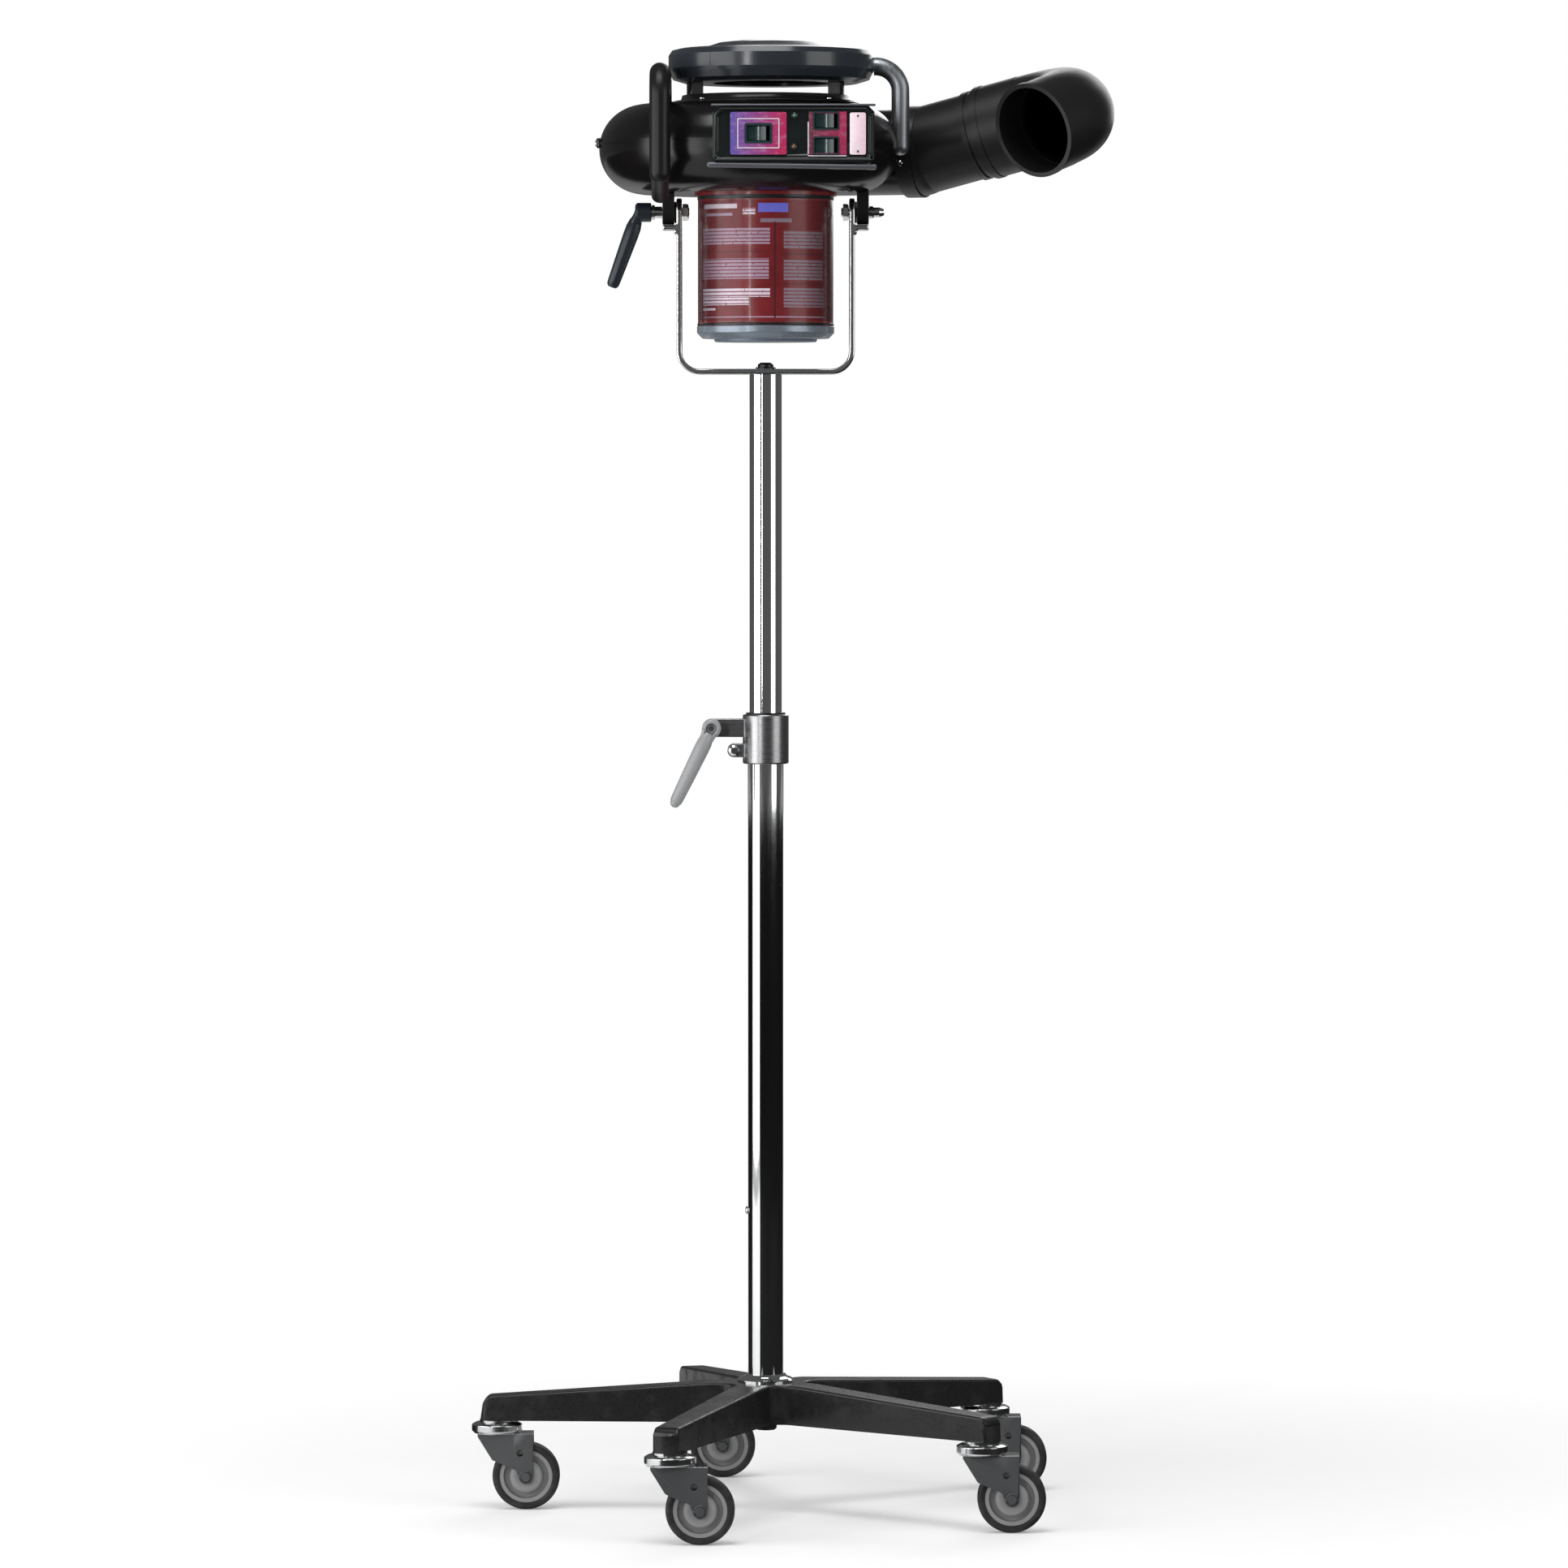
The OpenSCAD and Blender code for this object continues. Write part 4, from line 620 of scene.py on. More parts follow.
@dataclass(frozen=True)
class Softened:
    """A node whose sharp edges get a small radius, so that they catch the light as real ones do.

    Args:
        node: the node's name.
        radius: the radius in millimetres.
        angle: edges sharper than this are rounded, in degrees.
        segments: faces round each edge.
        above: edges lower than this, in millimetres, stay sharp.
        cut: whether large faces with holes are cut into triangles first.
    """

    node: str
    radius: float
    angle: float = 30
    segments: int = 2
    above: float = 0.0
    cut: bool = False

    def build(self) -> bpy.types.Object:
        """Makes the rounded copy, which stands for the node, and returns it."""
        piece = Piece(f"{self.node}_soft").copy_of(self.node)
        upper = [e for e in piece.bm.edges if min(v.co.z for v in e.verts) >= self.above]
        bmesh.ops.dissolve_limit(
            piece.bm, angle_limit=math.radians(0.6), verts=[], edges=upper,
            use_dissolve_boundaries=False, delimit={"NORMAL"},
        )
        if self.cut:
            bmesh.ops.triangulate(piece.bm, faces=[f for f in piece.bm.faces if len(f.verts) > 4])
        weight = piece.bm.edges.layers.float.new("bevel_weight_edge")
        for edge in piece.bm.edges:
            low = min(v.co.z for v in edge.verts) < self.above
            edge[weight] = 0.0 if low or edge.calc_face_angle(0) < math.radians(self.angle) else 1.0
        made = piece.done(body_of(self.node), NODE_FINISH[self.node], slot_of(self.node), self.angle)
        bevel = made.modifiers.new("rounding", "BEVEL")
        bevel.width = self.radius * MM
        bevel.segments = self.segments
        bevel.limit_method = "WEIGHT"
        bevel.use_clamp_overlap = False
        bevel.harden_normals = True
        bevel.miter_outer = "MITER_ARC"
        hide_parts(self.node)
        return made


def dress_nodes() -> None:
    """Gives each node its finish."""
    for name, finish in NODE_FINISH.items():
        for place in frame["nodes"][name].material_slots:
            place.material = finish.material()
        log.info("%s finished as %s", name, finish.name)


# ---- studio


@dataclass
class Studio:
    """Pale floor with dark cards for reflections, even light from all round, soft boxes and the camera."""

    aim: Point = (0.0163, 0.0, 0.648)
    distance: float = 7.0
    pitch: float = 2.32
    focal: float = 180.8
    floor_half: float = 14.0
    floor_tone: float = 0.8
    glow: Pair = (0.17, 0.95)
    glow_reach: Pair = (0.5, 5.0)
    card_inner: float = 0.28
    card_rise: float = 0.004
    card_sectors: tuple[Pair, ...] = ((-37.0, 187.0), (-150.0, 55.0))
    sky_camera: Pair = (0.42, 1.0)
    sky_gloss: Pair = (1.0, 0.22)

    def build(self) -> None:
        """Builds the studio."""
        self.floor()
        self.cards()
        self.world()
        self.lamps()
        self.camera()

    def lit_white(self, name: str) -> bpy.types.Material:
        """A matte white that camera and transmission rays see brighter where the lamps no longer reach.

        Args:
            name: the material's name.

        Returns:
            The material.
        """
        g = ShaderGraph(name).fixed(Roughness=0.9, Specular_IOR_Level=0.2, Emission_Color=(1, 1, 1))
        tint = g.span(g.noise(g.place(), 30, 3), 0, 1)
        g.colour(g.blend(tint, (self.floor_tone,) * 3, (self.floor_tone * 0.985,) * 3))
        names = ("Is Camera Ray", "Is Transmission Ray")
        rays = g.sum("MAXIMUM", *(g.node("ShaderNodeLightPath", name, {}) for name in names))
        reach = g.node("ShaderNodeVectorMath", "Value", {0: g.place()}, operation="LENGTH")
        glow = g.span(reach, *self.glow, *self.glow_reach)
        g.join(g.sum("MULTIPLY", rays, glow), g.shader.inputs["Emission Strength"])
        return g.material

    def floor(self) -> None:
        """Lays the floor."""
        bm = bmesh.new()
        bmesh.ops.create_grid(bm, x_segments=1, y_segments=1, size=self.floor_half)
        placed_mesh("floor", bm, self.lit_white("floor_white"))

    def cards(self) -> None:
        """Lays the dark cards on the floor that reflections see, open towards the left lamp and the back."""
        g = ShaderGraph("dark_card").fixed(Roughness=1.0, Specular_IOR_Level=0.0)
        g.colour(g.blend(g.noise(g.place(), 8), (0.01, 0.01, 0.01), (0.02, 0.02, 0.02)))
        for index, (start, sweep) in enumerate(self.card_sectors, 1):
            bm = bmesh.new()
            ends = [Vector((0, -radius, self.card_rise)) for radius in (self.card_inner, self.floor_half)]
            rim = [bm.verts.new(turned(start) @ end) for end in ends]
            spin_about_z(bm, [*rim, bm.edges.new(rim)], math.radians(sweep), 24)
            card = placed_mesh(f"dark_card_{index}", bm, g.material)
            card.visible_camera = card.visible_diffuse = card.visible_shadow = False

    def world(self) -> None:
        """Sets the even light from all round and the white that the camera sees."""
        world = bpy.data.worlds.new("studio")
        bpy.context.scene.world = world
        world.use_nodes = True
        tree = world.node_tree
        path = tree.nodes.new("ShaderNodeLightPath")
        both = tree.nodes.new("ShaderNodeMath")
        both.operation = "MULTIPLY"
        rays = (("Is Camera Ray", self.sky_camera), ("Is Glossy Ray", self.sky_gloss))
        for slot, (ray, (usual, for_ray)) in enumerate(rays):
            pick = tree.nodes.new("ShaderNodeMapRange")
            pick.inputs["To Min"].default_value = usual
            pick.inputs["To Max"].default_value = for_ray
            tree.links.new(path.outputs[ray], pick.inputs["Value"])
            tree.links.new(pick.outputs["Result"], both.inputs[slot])
        sky = tree.nodes["Background"]
        sky.inputs["Color"].default_value = (1, 1, 1, 1)
        tree.links.new(both.outputs["Value"], sky.inputs["Strength"])

    def lamp(self, name: str, place: Point, aim: Point, size: Pair, power: float) -> None:
        """Hangs one soft box.

        Args:
            name: its name.
            place: where it hangs, in metres.
            aim: the point that it faces.
            size: its width and height.
            power: its power in watts.
        """
        data = bpy.data.lights.new(name, "AREA")
        data.shape = "RECTANGLE"
        data.size, data.size_y = size
        data.energy = power
        made = placed(name, data)
        made.location = place
        made.rotation_euler = (Vector(aim) - Vector(place)).to_track_quat("-Z", "Y").to_euler()
        made.visible_camera = False

    def lamps(self) -> None:
        """Hangs the soft boxes."""
        self.lamp("left_box", (-2.6, -1.2, 1.1), (0, 0, 0.9), (2.6, 2.1), 52)
        self.lamp("right_box", (2.4, -1.6, 1.4), (0, 0, 1.3), (1.7, 1.8), 22)
        self.lamp("strip_box", (-1.35, -2.7, 1.25), (0, 0, 1.1), (0.16, 1.2), 14)
        self.lamp("top_box", (-0.3, -0.9, 3.1), (0, 0, 1.0), (1.6, 1.2), 34)
        self.lamp("back_box", (0.8, 2.6, 1.9), (0, 0, 0.9), (1.8, 1.4), 20)

    def camera(self) -> None:
        """Sets up the long-lens camera."""
        data = bpy.data.cameras.new("camera")
        data.sensor_width = 36.0
        data.lens = self.focal
        data.clip_end = 60
        made = placed("camera", data)
        drop = math.radians(self.pitch)
        way = Vector((0, math.cos(drop), -math.sin(drop)))
        made.location = Vector(self.aim) - way * self.distance
        made.rotation_euler = way.to_track_quat("-Z", "Y").to_euler()
        bpy.context.scene.camera = made


# ---- stand


@dataclass
class Base:
    """The pressed five-leg base with its hub's rivets."""

    legs: Softened = Softened("base_spider", 2.4, 26, 4, 90)
    rivet_reach: float = 21.0
    rivet_height: float = 115.0
    first_rivet: float = FIRST_LEG + LEG_STEP / 2

    def build(self) -> None:
        """Builds the softened legs and the hub's rivets."""
        self.legs.build()
        rivet = Piece("hub_rivets").lathe([(0, 1.7), (1.6, 1.5), (2.6, 0.8), (2.9, 0), (0, 0)], 20)
        at = shifted(self.rivet_reach, 0, self.rivet_height)
        rivet.repeat([turned(self.first_rivet + LEG_STEP * n) @ at for n in range(5)])
        rivet.done("base", BLACK_OXIDE, "black_oxide")


def lever_grip(name: str, root: Point, way: Vector, reach: float) -> Piece:
    """Moulds the thick tapered grip round a lever's handle, from its root in the hub out to its reach."""
    grip = Piece(name).lathe([
        (0, 5.0), (4.2, 5.0), (5.6, 8.0), (6.7, 14.0), (6.8, 22), (6.2, reach - 24.8),
        (5.6, reach - 4.8), (5.1, reach - 2.2), (3.6, reach - 0.4), (0, reach),
    ], 40)
    return grip.move(along(way, Vector(root)))


@dataclass
class HeightClamp:
    """The collar that grips the upper tube, with its lever."""

    parts: tuple[Softened, ...] = (
        Softened("clamp_collar", 0.6, 30, 3),
        Softened("clamp_lever", 0.5, 28, 2, cut=True),
    )
    handle_root: Point = (-48.0, -22.9, 698.0)
    handle_way: Point = (-0.4373, -0.0698, -0.8966)
    grip_reach: float = 74.8

    def build(self) -> None:
        """Builds the softened collar and lever."""
        for part in self.parts:
            part.build()
        grip = lever_grip("clamp_lever_grip", self.handle_root, Vector(self.handle_way), self.grip_reach)
        grip.done("clamp_handle", CLAMP_GREY, "grey_lever")


@dataclass
class Caster:
    """One swivel caster: pressed fork with a plated race, wheel with a thread guard, and tyre.

    Args:
        number: its number in the node names.
        angle: direction of its leg, in degrees.
    """

    number: int
    angle: float
    reach: float = 240.0
    trail: float = 26.0
    axle_height: float = 30.0
    fork_top: float = 68.5
    race_depth: float = 9.0
    race_radius: float = 22.5
    half_width: float = 9.5
    cheek: float = 14.05
    bead_offsets: Point = (-5.2, 0.0, 5.2)

    @property
    def stem(self) -> Vector:
        """Foot of the stem's axis on the floor, in millimetres."""
        turn = math.radians(self.angle)
        return Vector((self.reach * math.cos(turn), self.reach * math.sin(turn), 0))

    @property
    def axle(self) -> Vector:
        """Middle of the wheel."""
        return self.stem + Vector((self.trail, 0, self.axle_height))

    def sides(self, offset: float) -> list[Matrix]:
        """Places on the axle at an offset to either side, with +Z away from the wheel."""
        return [along((0, side, 0), self.axle + Vector((0, side * offset, 0))) for side in (-1, 1)]

    def build(self) -> None:
        """Builds the caster's pieces."""
        self.fork()
        self.race_crimp()
        self.rivet()
        self.tread()
        self.guard()

    def fork(self) -> None:
        """Softens the fork and plates its race."""
        made = Softened(f"fork_{self.number}", 0.5, 30, 2).build()
        made.data.materials.append(ZINC.material())
        low = (self.fork_top - self.race_depth - 0.2) * MM
        for face in made.data.polygons:
            if min(made.data.vertices[i].co.z for i in face.vertices) > low:
                face.material_index = 1

    def race_crimp(self) -> None:
        """Rolls the bright crimp round the race."""
        section = ((-2.0, -0.2), (-2.0, 0.5), (-3.2, 1.0), (-6.5, 1.0), (-6.5, -0.2))
        ring = Piece(f"race_crimp_{self.number}")
        ring.lathe([(self.race_radius + out, self.fork_top + up) for out, up in section], 48)
        ring.move(Matrix.Translation(self.stem)).done(f"caster_{self.number}", ZINC, "zinc_plate")

    def rivet(self) -> None:
        """Puts the axle's rivet heads on the fork's cheeks."""
        head = Piece(f"axle_rivets_{self.number}")
        head.lathe([(0, 1.5), (2.0, 1.4), (3.6, 0.8), (4.2, 0), (0, 0)], 24).repeat(self.sides(self.cheek))
        head.done(f"caster_{self.number}", ZINC, "zinc_plate")

    def tread(self) -> None:
        """Raises the tyre's mould lines as fine beads."""
        bead = Piece(f"tread_lines_{self.number}").lathe([(29.7, -0.35), (29.98, 0), (29.7, 0.35)], 72)
        bead.repeat([shifted(0, 0, offset) for offset in self.bead_offsets])
        bead.move(along((0, 1, 0), self.axle)).done(f"wheel_body_{self.number}", TYRE, "tyre_black")

    def guard(self) -> None:
        """Puts the pale thread guards beside the hub."""
        ring = Piece(f"thread_guards_{self.number}").lathe([
            (7.0, 0), (13.5, 0), (13.5, 0.5), (12.4, 1.0), (8.2, 1.0), (7.0, 0.6),
        ], 40)
        ring.repeat(self.sides(self.half_width + 0.1))
        ring.done(f"wheel_body_{self.number}", WHEEL_GREY, "wheel_grey")


# ---- yoke and tilt clamp


@dataclass
class Yoke:
    """The plated U strip, with its tilt lever and ears."""

    parts: tuple[Softened, ...] = (
        Softened("yoke", 1.5, 40, 4),
        Softened("tilt_lever", 0.5, 28, 2, cut=True),
        Softened("pivot_ears", 0.8, 35, 3),
        Softened("yoke_bolt", 0.3, 35, 2),
    )
    handle_root: Point = (-112.2, 0.0, 1155.0)
    handle_lean: float = math.radians(20)
    grip_reach: float = 70.8

    def build(self) -> None:
        """Builds the softened parts."""
        for part in self.parts:
            part.build()
        way = Vector((-math.sin(self.handle_lean), 0, -math.cos(self.handle_lean)))
        grip = lever_grip("tilt_lever_grip", self.handle_root, way, self.grip_reach)
        grip.done("tilt_handle", TILT_BLACK, "black_lever")


# ---- fan housing


@dataclass
class Housing:
    """The moulded scroll's raised seam and screw lugs."""

    seam_z: float = 1216.5
    rib_half: float = 1.1
    rib_rise: float = 0.9
    centre: Point = (-12.0, 14.0, 0.0)
    throat_start: Point = (21.0, 116.7, 0.0)
    throat_turn: float = -20.0
    throat_rib: float = 24.0
    lugs: tuple[Point, ...] = ((-146.8, 10.0, 175.0), (-92.0, 122.0, 128.0), (-30.0, 160.5, 98.0))

    def build(self) -> None:
        """Builds the rib and the lugs."""
        self.rib("lower_casing", self.seam_z - self.rib_half, self.seam_z, "seam_rib_lower")
        self.rib("upper_casing", self.seam_z, self.seam_z + self.rib_half, "seam_rib_upper")
        self.clips()

    def clips(self) -> None:
        """Screws a small lug over the seam at each of its places."""
        head = ((0, 0.6), (1.2, 1.0), (2.2, 1.4), (2.7, 0.6), (2.7, 0), (0, 0))
        for index, (x, y, angle) in enumerate(self.lugs, 1):
            place = shifted(x, y, self.seam_z) @ turned(angle)
            lug = Piece(f"seam_lug_{index}").block((6.0, 13.0, 9.0), 1.6, 3)
            lug.move(place).done("head", HOUSING_BLACK, "housing_black")
            screw = Piece(f"lug_screw_{index}").lathe(head, 20)
            screw.move(place @ shifted(3.0, 0, 0) @ turned(90, "Y")).done("head", ZINC, "zinc_plate")

    def rib(self, node: str, low: float, high: float, name: str) -> None:
        """Cuts a band of the housing's skin beside the seam and swells it.

        Args:
            node: the casing.
            low: height of its lower edge.
            high: height of its upper edge.
            name: the piece's name.
        """
        band = Piece(name).copy_of(node).keep_between(low, high)
        centre = Vector(self.centre)
        throat = turned(self.throat_turn) @ Vector((1, 0, 0))
        band.bm.normal_update()
        hidden = []
        for face in band.bm.faces:
            place = face.calc_center_median()
            past = (place - Vector(self.throat_start)).dot(throat) > self.throat_rib
            if past or face.normal.dot(place - centre) < 0:
                hidden.append(face)
        bmesh.ops.delete(band.bm, geom=hidden, context="FACES")
        band.bm.normal_update()
        made = bmesh.ops.extrude_face_region(band.bm, geom=band.bm.faces[:])
        for vert in new_verts(made):
            vert.co += (Vector((vert.co.x, vert.co.y, 0)) - centre).normalized() * self.rib_rise
        band.done("head", HOUSING_BLACK, "housing_black", 40)


# ---- motor


class Print(Enum):
    """Tones printed on the motor's label."""

    PALE = (0.6, 0.52, 0.6)
    LILAC = (0.33, 0.23, 0.31)
    BLUE = (0.13, 0.13, 0.55)
    GREY = (0.2, 0.15, 0.19)
    DARK = (0.06, 0.012, 0.016)


LABEL_GLOSS = {"Coat_Weight": 0.12, "Coat_Roughness": 0.08, "Specular_IOR_Level": 0.25}


def painted_side_shade(g: ShaderGraph, where: Socket) -> Socket:
    """Share of painted shade towards both sides of the can, where its curve turns from the light, 0 in the
    middle.
    """
    return g.span(g.sum("ABSOLUTE", g.axis(where, "X"), 0), 0, 0.92, 0.034, 0.06)


@dataclass(frozen=True)
class LabelGround(Finish):
    """Lacquered red ground of the label, with painted shade darkening it towards both sides of the can."""

    middle: Colour
    # Colour of the painted shade at the can's sides.
    side: Colour

    def graph(self) -> ShaderGraph:
        """Builds the finish's node tree."""
        g = ShaderGraph(self.name).fixed(**LABEL_GLOSS)
        where = g.place()
        shade = tuple(c * 0.72 for c in self.middle)
        cloud = g.blend(g.span(g.noise(where, 60, 3), 0, 1), self.middle, shade)
        # Painted shade: the ground darkens towards both sides of the can.
        g.colour(g.blend(painted_side_shade(g, where), cloud, self.side))
        g.roughness(g.span(g.noise(where, 300, 2), 0.26, 0.36))
        g.bump(g.noise(where, 700, 2), 0.015, 0.3)
        return g


@dataclass(frozen=True)
class Ink(Finish):
    """Ink on a lacquered label, in rows with thin gaps of the ground.

    Args:
        ink: the ink's colour.
        ground: the colour between the rows.
        pitch: distance between rows in millimetres, or 0 for solid ink.
        gaps: how broken the rows are.
    """

    ink: Colour
    ground: Colour
    pitch: float = 0.0
    gaps: float = 0.5

    def graph(self) -> ShaderGraph:
        """Builds the finish's node tree."""
        g = ShaderGraph(self.name).fixed(**LABEL_GLOSS)
        where = g.place()
        wear = g.noise(where, 180, 4, 0.6)
        worn = g.blend(g.span(wear, 0, 0.3, 0.5, 0.75), self.ink, tuple(c * 0.7 for c in self.ink))
        if self.pitch:
            rows = 1 / (self.pitch * MM)
            wave = g.sum("SINE", g.sum("MULTIPLY", g.axis(where, "Z"), FULL_TURN * rows), 0)
            row = g.span(wave, 0, 1, -0.85, -0.3)
            breaks = g.noise(g.place((520, 520, rows)), 1, 1)
            mask = g.sum("MULTIPLY", row, g.span(breaks, 0, 1, self.gaps - 0.1, self.gaps))
            worn = g.blend(mask, self.ground, worn)
        # Painted shade: the ink also darkens towards both sides of the can.
        g.colour(g.blend(painted_side_shade(g, where), worn, (0.012, 0.008, 0.01)))
        g.roughness(g.span(wear, 0.28, 0.42))
        g.bump(g.noise(where, 900, 2), 0.02, 0.3)
        return g


@dataclass
class Motor:
    """The motor can with its wrap-round label, end bands and cap."""

    radius: float = 60.0
    bottom: float = 1054.2
    top: float = 1172.2
    cap: Softened = Softened("end_cap", 0.7, 25, 3, cut=True)
    red: Colour = (0.17, 0.014, 0.018)
    # Colour of the painted shade on the label at the can's sides.
    label_painted_shade: Colour = (0.014, 0.006, 0.008)
    label_depth: float = 0.08
    label_steps: float = 24.0
    ground_rise: float = 0.12
    print_rise: float = 0.2
    patches: tuple[tuple[float, float, float, float, Print, float], ...] = (
        (-54, -25, 1157, 1161, Print.PALE, 0.0), (-52, -29, 1150.5, 1153, Print.LILAC, 0.0),
        (-20, -9, 1151, 1157, Print.PALE, 2.6), (-6.5, 20, 1153.5, 1161.5, Print.BLUE, 0.0),
        (-4.5, 23, 1144.5, 1148, Print.GREY, 0.0), (-55, 4, 1125.5, 1140, Print.LILAC, 3.1),
        (-55, 3, 1095, 1113, Print.LILAC, 3.1), (-55, 4, 1079, 1086.5, Print.PALE, 3.4),
        (-55, -14.5, 1072, 1078.5, Print.PALE, 3.0), (-55, -44, 1067.5, 1069.5, Print.PALE, 0.0),
        (16, 50.5, 1121, 1137.5, Print.GREY, 3.1), (16, 50.5, 1093.5, 1111.5, Print.GREY, 3.1),
        (16, 51.5, 1070, 1087.5, Print.GREY, 3.1), (-55, 53, 1061, 1062, Print.LILAC, 0.0),
        (-55, 4, 1118.5, 1119.2, Print.DARK, 0.0), (16, 51, 1116.2, 1117, Print.DARK, 0.0),
        (16, 51, 1090.2, 1091, Print.DARK, 0.0), (7.5, 9, 1061, 1145, Print.DARK, 0.0),
    )

    def build(self) -> None:
        """Builds the motor's dressing."""
        self.cap.build()
        self.band("can_top_band", self.top - 6.5, self.top - 0.25)
        self.band("can_foot_band", self.bottom + 0.3, self.bottom + 2.6)
        ground = LabelGround("label_ground", self.red, self.label_painted_shade)
        self.wrap("label_ground", (-58.5, 58.5, self.bottom + 4, self.top - 8), self.ground_rise, ground)
        for index, (*area, tone, pitch) in enumerate(self.patches, 1):
            ink = Ink(f"ink_{tone.name.lower()}_{int(pitch * 10)}", tone.value, self.red, pitch, 0.36)
            self.wrap(f"label_print_{index:02d}", area, self.print_rise, ink)
        self.seam()

    def band(self, name: str, low: float, high: float) -> None:
        """Lays a painted band round the can, between two heights."""
        section = ((-0.3, low), (0.3, low), (0.45, low + 0.3), (0.45, high - 0.3), (0.3, high), (-0.3, high))
        ring = Piece(name).lathe([(self.radius + out, z) for out, z in section], 128)
        ring.done("head", BLACK_POWDER, "can_red")

    def wrap(self, name: str, area: tuple[float, ...], rise: float, finish: Finish) -> None:
        """Lays a patch of label on the can's front.

        Args:
            name: the piece's name.
            area: left and right as seen from the front, then bottom and top.
            rise: how far its face stands off the can.
            finish: its finish.
        """
        left, right, low, high = area
        start, end = (math.asin(x / self.radius) - math.pi / 2 for x in (left, right))
        outer = self.radius + rise
        inner = outer - self.label_depth
        section = ((inner, low), (outer, low), (outer, high), (inner, high))
        patch = Piece(name)
        turn = Matrix.Rotation(start, 3, "Z")
        corners = [patch.bm.verts.new(turn @ Vector((radius, 0, z))) for radius, z in section]
        edges = [patch.bm.edges.new(pair) for pair in zip(corners, corners[1:] + corners[:1])]
        steps = max(2, round((end - start) * self.label_steps))
        spin_about_z(patch.bm, corners + edges, end - start, steps)
        ends = [e for e in patch.bm.edges if len(e.link_faces) == 1]
        bmesh.ops.holes_fill(patch.bm, edges=ends, sides=4)
        patch.clean().done("head", finish, "can_red")

    def seam(self) -> None:
        """Folds the can's lock seam down its back."""
        fold = Piece("can_seam").block((5.0, 0.9, self.top - self.bottom - 11), 0.4, 3)
        fold.move(shifted(0, self.radius + 0.2, (self.top + self.bottom) / 2))
        fold.done("head", CAN_RED, "can_red")


# ---- intake and handles


@dataclass
class Intake:
    """The trims of the cover over the intake, and its softened ring."""

    shift: float = 5.0
    radius: float = 91.0
    wall_low: float = 1281.0
    wall_high: float = 1297.0
    top: float = 1306.8
    ring: Softened = Softened("intake_ring", 0.5, 35, 2)
    seam_angles: tuple[float, ...] = (-126.0, -54.0, 54.0, 126.0)

    def build(self) -> None:
        """Builds the cover's trims."""
        self.seams()
        self.disc()
        self.ring.build()

    def seams(self) -> None:
        """Moulds the fine parting lines down the cover's side."""
        line = Piece("cover_seams").block((0.7, 0.8, self.wall_high - self.wall_low - 3), 0.2, 2)
        middle = shifted(self.shift, 0, (self.wall_low + self.wall_high) / 2 - 1)
        wall = shifted(self.radius - 0.2, 0, 0)
        line.repeat([middle @ turned(angle) @ wall for angle in self.seam_angles])
        line.done("head", COVER_SLATE, "cover_slate")

    def disc(self) -> None:
        """Lays the low bare disc in the middle of the cover's dome."""
        disc = Piece("cover_disc").lathe([(0, 0), (30, -0.25), (31, -0.8), (31, -1.6), (0, -1.6)], 96)
        disc.move(shifted(self.shift, 0, self.top - 0.02)).done("head", COVER_SLATE, "cover_slate")


# ---- control panel


@dataclass(frozen=True)
class Legend(Finish):
    """Screen-printed switch plate that runs from one colour to another across its width.

    Args:
        left: colour on the left.
        right: colour on the right.
        x0: left end in millimetres.
        x1: right end in millimetres.
        glow: paler tone of the cloudy print.
    """

    left: Colour
    right: Colour
    x0: float
    x1: float
    glow: Colour = (0.5, 0.5, 0.6)

    def graph(self) -> ShaderGraph:
        """Builds the finish's node tree."""
        g = ShaderGraph(self.name).fixed(Coat_Weight=0.5, Coat_Roughness=0.08)
        where = g.place()
        across = g.span(g.axis(where, "X"), 0, 1, self.x0 * MM, self.x1 * MM)
        cloud = g.noise(g.place((1, 1, 2.2)), 120, 3)
        share = g.sum("ADD", across, g.span(cloud, -0.12, 0.12))
        tone = g.blend(share, self.left, self.right)
        g.colour(g.blend(g.span(cloud, 0, 0.35, 0.5, 0.7), tone, self.glow))
        g.roughness(g.span(g.noise(where, 300), 0.2, 0.32))
        g.bump(g.noise(where, 1100, 2), 0.015, 0.3)
        return g


LEGEND_VIOLET = Legend("legend_violet", (0.1, 0.075, 0.3), (0.36, 0.015, 0.07), -30, 14, (0.32, 0.26, 0.5))
LEGEND_MAROON = Legend("legend_maroon", (0.12, 0.03, 0.05), (0.33, 0.02, 0.08), 38, 70, (0.3, 0.16, 0.22))
LEGEND_PALE = Legend("legend_pale", (0.78, 0.66, 0.72), (0.72, 0.5, 0.58), 73, 88, (0.85, 0.8, 0.84))
PALE_LINE = Moulded("pale_printed_line", (0.6, 0.55, 0.6), 0.3)
LAMP_GREEN = Lens("lamp_green", (0.02, 0.16, 0.11))
LAMP_AMBER = Lens("lamp_amber", (0.16, 0.07, 0.02))


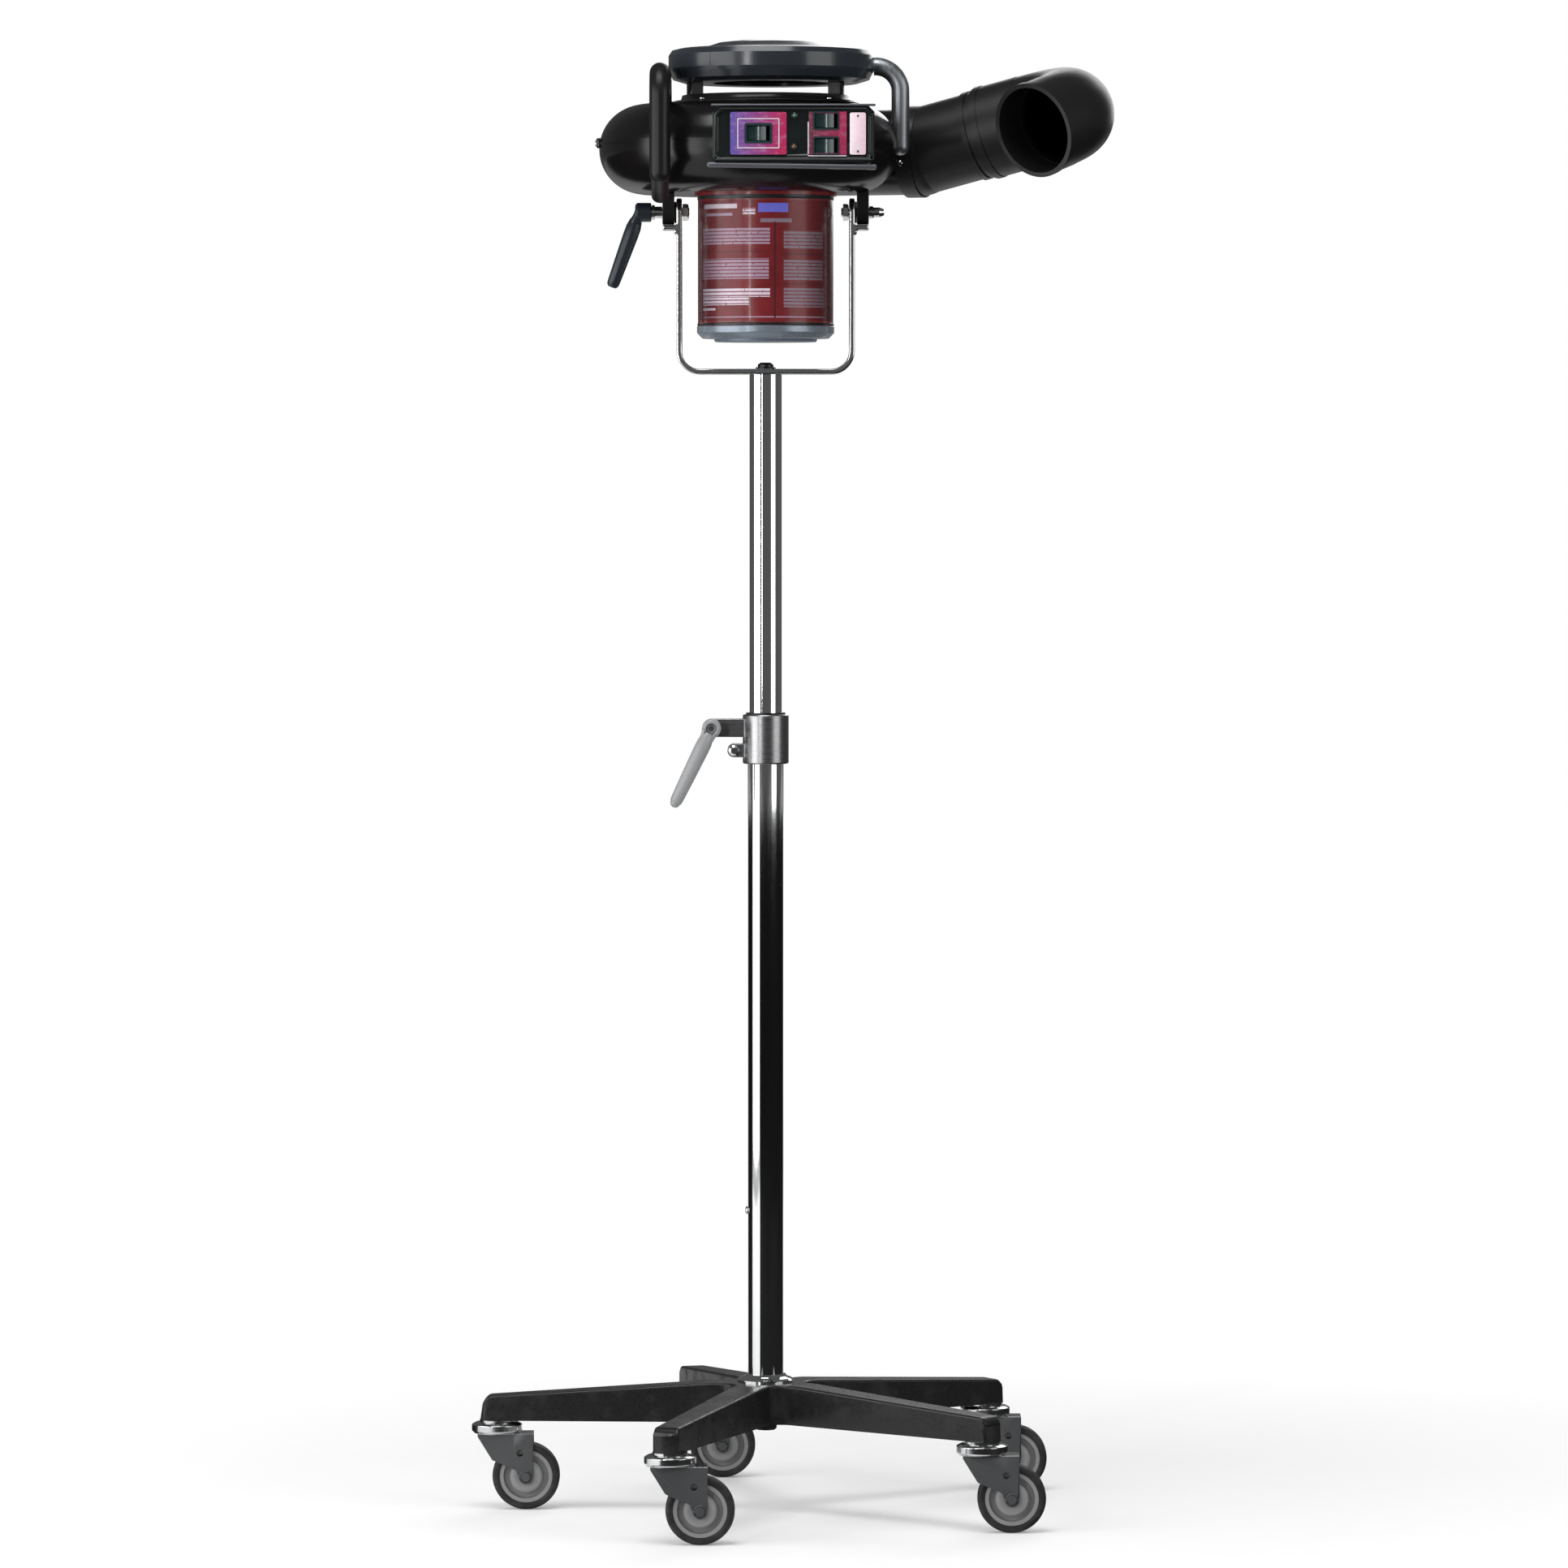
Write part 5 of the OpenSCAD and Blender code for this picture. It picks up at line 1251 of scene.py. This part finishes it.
@dataclass
class Panel:
    """The control panel: printed switch plates, frames, lamps and the softened rockers."""

    face: float = -131.0
    parts: tuple[Softened, ...] = (
        Softened("control_panel", 1.0, 35, 3, cut=True),
        Softened("power_rocker", 0.35, 30, 2),
        Softened("heat_rocker", 0.35, 30, 2),
        Softened("speed_rocker", 0.35, 30, 2),
    )
    power: Pair = (-6.0, 1219.5)
    heat: Pair = (53.0, 1230.5)
    speed: Pair = (53.0, 1208.5)
    rocker_size: Pair = (19.0, 12.5)
    tag_place: Pair = (80.5, 1219.2)

    def build(self) -> None:
        """Builds the panel's dressing."""
        for part in self.parts:
            part.build()
        width, height = self.rocker_size
        hole = (width + 0.9, height + 0.9)
        self.ring("power_plate", self.power, (width + 1.2, height + 1.2), (49, 37), 0.5, LEGEND_VIOLET)
        self.ring("power_line", self.power, (35, 24.5), (36.6, 26.1), 0.75, PALE_LINE)
        self.ring("power_bezel", self.power, hole, (width + 5, height + 5), 1.3, ROCKER_BLACK)
        self.double_plate((self.heat[0], (self.heat[1] + self.speed[1]) / 2))
        for name, place in (("heat_bezel", self.heat), ("speed_bezel", self.speed)):
            self.ring(name, place, hole, (width + 3.6, height + 3.6), 1.3, ROCKER_BLACK)
        self.tag()
        self.lips()
        self.lamp("lamp_upper", (25.5, 1235.0), LAMP_GREEN)
        self.lamp("lamp_lower", (25.0, 1208.0), LAMP_AMBER)

    def lips(self) -> None:
        """Runs the glossy lips along the console's lower and upper edges, with real high gloss and a colour
        paler than the housing as a painted highlight.
        """
        lower = Piece("console_lower_lip").block((148, 15.5, 4.6), 2.1, 4)
        lower.move(shifted(23.0, -124.0, 1191.4) @ turned(0.8, "Y"))
        lower.done("head", CONSOLE_LIP_PAINTED_HIGHLIGHT, "housing_black")
        upper = Piece("console_upper_lip").block((143, 9.0, 1.8), 0.8, 3)
        upper.move(shifted(24.5, -127.6, 1244.2)).done("head", CONSOLE_LIP_PAINTED_HIGHLIGHT, "housing_black")

    def at(self, place: Pair) -> Matrix:
        """Matrix to a point of the panel's face."""
        return shifted(place[0], self.face + 0.05, place[1])

    def proud(self, place: Pair, rise: float) -> Matrix:
        """Matrix that turns +Z out of the panel at a point that stands so far off its face."""
        return along((0, -1, 0), (place[0], self.face - rise, place[1]))

    def ring(self, name: str, place: Pair, window: Pair, size: Pair, thick: float, finish: Finish) -> None:
        """A plate with a rectangular window.

        Args:
            name: the piece's name.
            place: its middle on the face.
            window: the window's width and height.
            size: outer width and height.
            thick: how far it stands out.
            finish: its finish.
        """
        ring = Piece(name)
        (inner_width, inner_height), (width, height) = window, size
        flat = turned(90, "X") @ Matrix.Diagonal((inner_width, inner_height, 1, 1))
        bmesh.ops.create_grid(ring.bm, x_segments=1, y_segments=1, size=0.5, matrix=flat)
        middle = ring.bm.faces[:]
        made = bmesh.ops.extrude_edge_only(ring.bm, edges=middle[0].edges[:])
        growth = (width / inner_width, 1, height / inner_height)
        bmesh.ops.scale(ring.bm, vec=growth, verts=new_verts(made))
        bmesh.ops.delete(ring.bm, geom=middle, context="FACES_ONLY")
        made = bmesh.ops.extrude_face_region(ring.bm, geom=ring.bm.faces[:])
        bmesh.ops.translate(ring.bm, verts=new_verts(made), vec=(0, -thick, 0))
        ring.clean()
        corners = [e for e in ring.upright(thick) if abs(e.verts[0].co.x) > inner_width / 2 + 0.01]
        ring.soften(corners, min(1.5, (width - inner_width) / 2.5), 4)
        ring.move(self.at(place)).done("head", finish, "rocker_black", 40)

    def double_plate(self, place: Pair) -> None:
        """Lays the printed plate round the two small rockers, as bars between and beside them.

        Args:
            place: its middle on the face.
        """
        wide = self.rocker_size[0] + 2.6
        bars = (
            (-12.9, 0, 4.2, 37.5), (14.3, 0, 7.0, 37.5),
            (0, 18.0, wide, 1.5), (0, -18.0, wide, 1.5), (0, 0, wide, 7.0),
        )
        lines = ((-15.6, -4.0, 0.9, 28.0), (1.0, -19.6, 33.5, 0.9))
        for name, rows, rounding, finish in (
            ("switch_plate", bars, (0.5, 0.4, 0.15), LEGEND_MAROON),
            ("switch_line", lines, (0.7, 0.3, 0.1), PALE_LINE),
        ):
            for index, (x, z, width, height) in enumerate(rows, 1):
                bar = Piece(f"{name}_{index}").plate(width, height, *rounding)
                bar.move(self.at((place[0] + x, place[1] + z))).done("head", finish, "rocker_black")

    def tag(self) -> None:
        """Lays the bare pale plate on the right, held by two rivets."""
        x, z = self.tag_place
        plate = Piece("pale_plate").plate(14.0, 36.5, 0.6, 1.6, 0.2)
        plate.move(self.at(self.tag_place)).done("head", LEGEND_PALE, "rocker_black")
        rivet = Piece("pale_plate_rivets").lathe([(0, 0.7), (0.9, 0.55), (1.3, 0), (0, 0)], 16)
        rivet.repeat([self.proud((x, z + rise), 0.5) for rise in (-15.4, 15.4)])
        rivet.done("head", ZINC, "zinc_plate")

    def lamp(self, name: str, place: Pair, finish: Finish) -> None:
        """Sets a small domed lamp in a dark bezel.

        Args:
            name: the piece's name.
            place: its middle on the face.
            finish: the lens's finish.
        """
        lens = Piece(name).lathe([(0, 1.5), (0.9, 1.3), (1.6, 0.7), (1.8, 0), (0, 0)], 24)
        lens.move(self.proud(place, -0.1)).done("head", finish, "rocker_black")
        bezel = Piece(f"{name}_bezel").lathe([(1.85, 0), (3.0, 0), (2.8, 0.6), (2.2, 0.9), (1.85, 0.7)], 24)
        bezel.move(self.proud(place, -0.1)).done("head", BLACK_NYLON, "black_nylon")


# ---- outlet


@dataclass
class Outlet:
    """The rising duct's trims."""

    foot: Point = (137.53, 74.27, 1211.5)
    duct_turn: float = -20.0
    collar_radius: float = 42.0
    screw_inset: float = 4.5
    screw_angles: Pair = (17.0, -16.0)

    def build(self) -> None:
        """Drives the two pan screws that hold the duct's collar on the throat."""
        screw = Piece("duct_collar_screws").lathe([
            (0, 0.5), (0.9, 0.9), (2.0, 1.3), (2.6, 0.5), (2.6, -0.4), (0, -0.4),
        ], 20)
        out = turned(self.duct_turn) @ Vector((1, 0, 0))
        side = turned(self.duct_turn) @ Vector((0, -1, 0))
        places = []
        for angle in self.screw_angles:
            tilt = math.radians(angle)
            way = side * math.cos(tilt) + Vector((0, 0, math.sin(tilt)))
            places.append(along(way, Vector(self.foot) - out * self.screw_inset + way * self.collar_radius))
        screw.repeat(places).done("head", ZINC, "zinc_plate")


ASSEMBLIES: tuple = (
    Base(), HeightClamp(), *(Caster(n, FIRST_LEG + LEG_STEP * (n - 1)) for n in CASTER_NUMBERS),
    Yoke(), Housing(), Motor(), Intake(), Softened("side_grip", 0.4, 40, 2), Panel(), Outlet(),
)


# ---- assembly


def main() -> None:
    """Builds every sub-assembly, dresses the nodes and sets up the studio."""
    logging.basicConfig(level=logging.INFO, format="%(name)s: %(message)s")
    bpy.context.scene.view_settings.view_transform = "Standard"
    dress_nodes()
    for group in ASSEMBLIES:
        group.build()
    Studio().build()


if __name__ == "__main__":
    main()
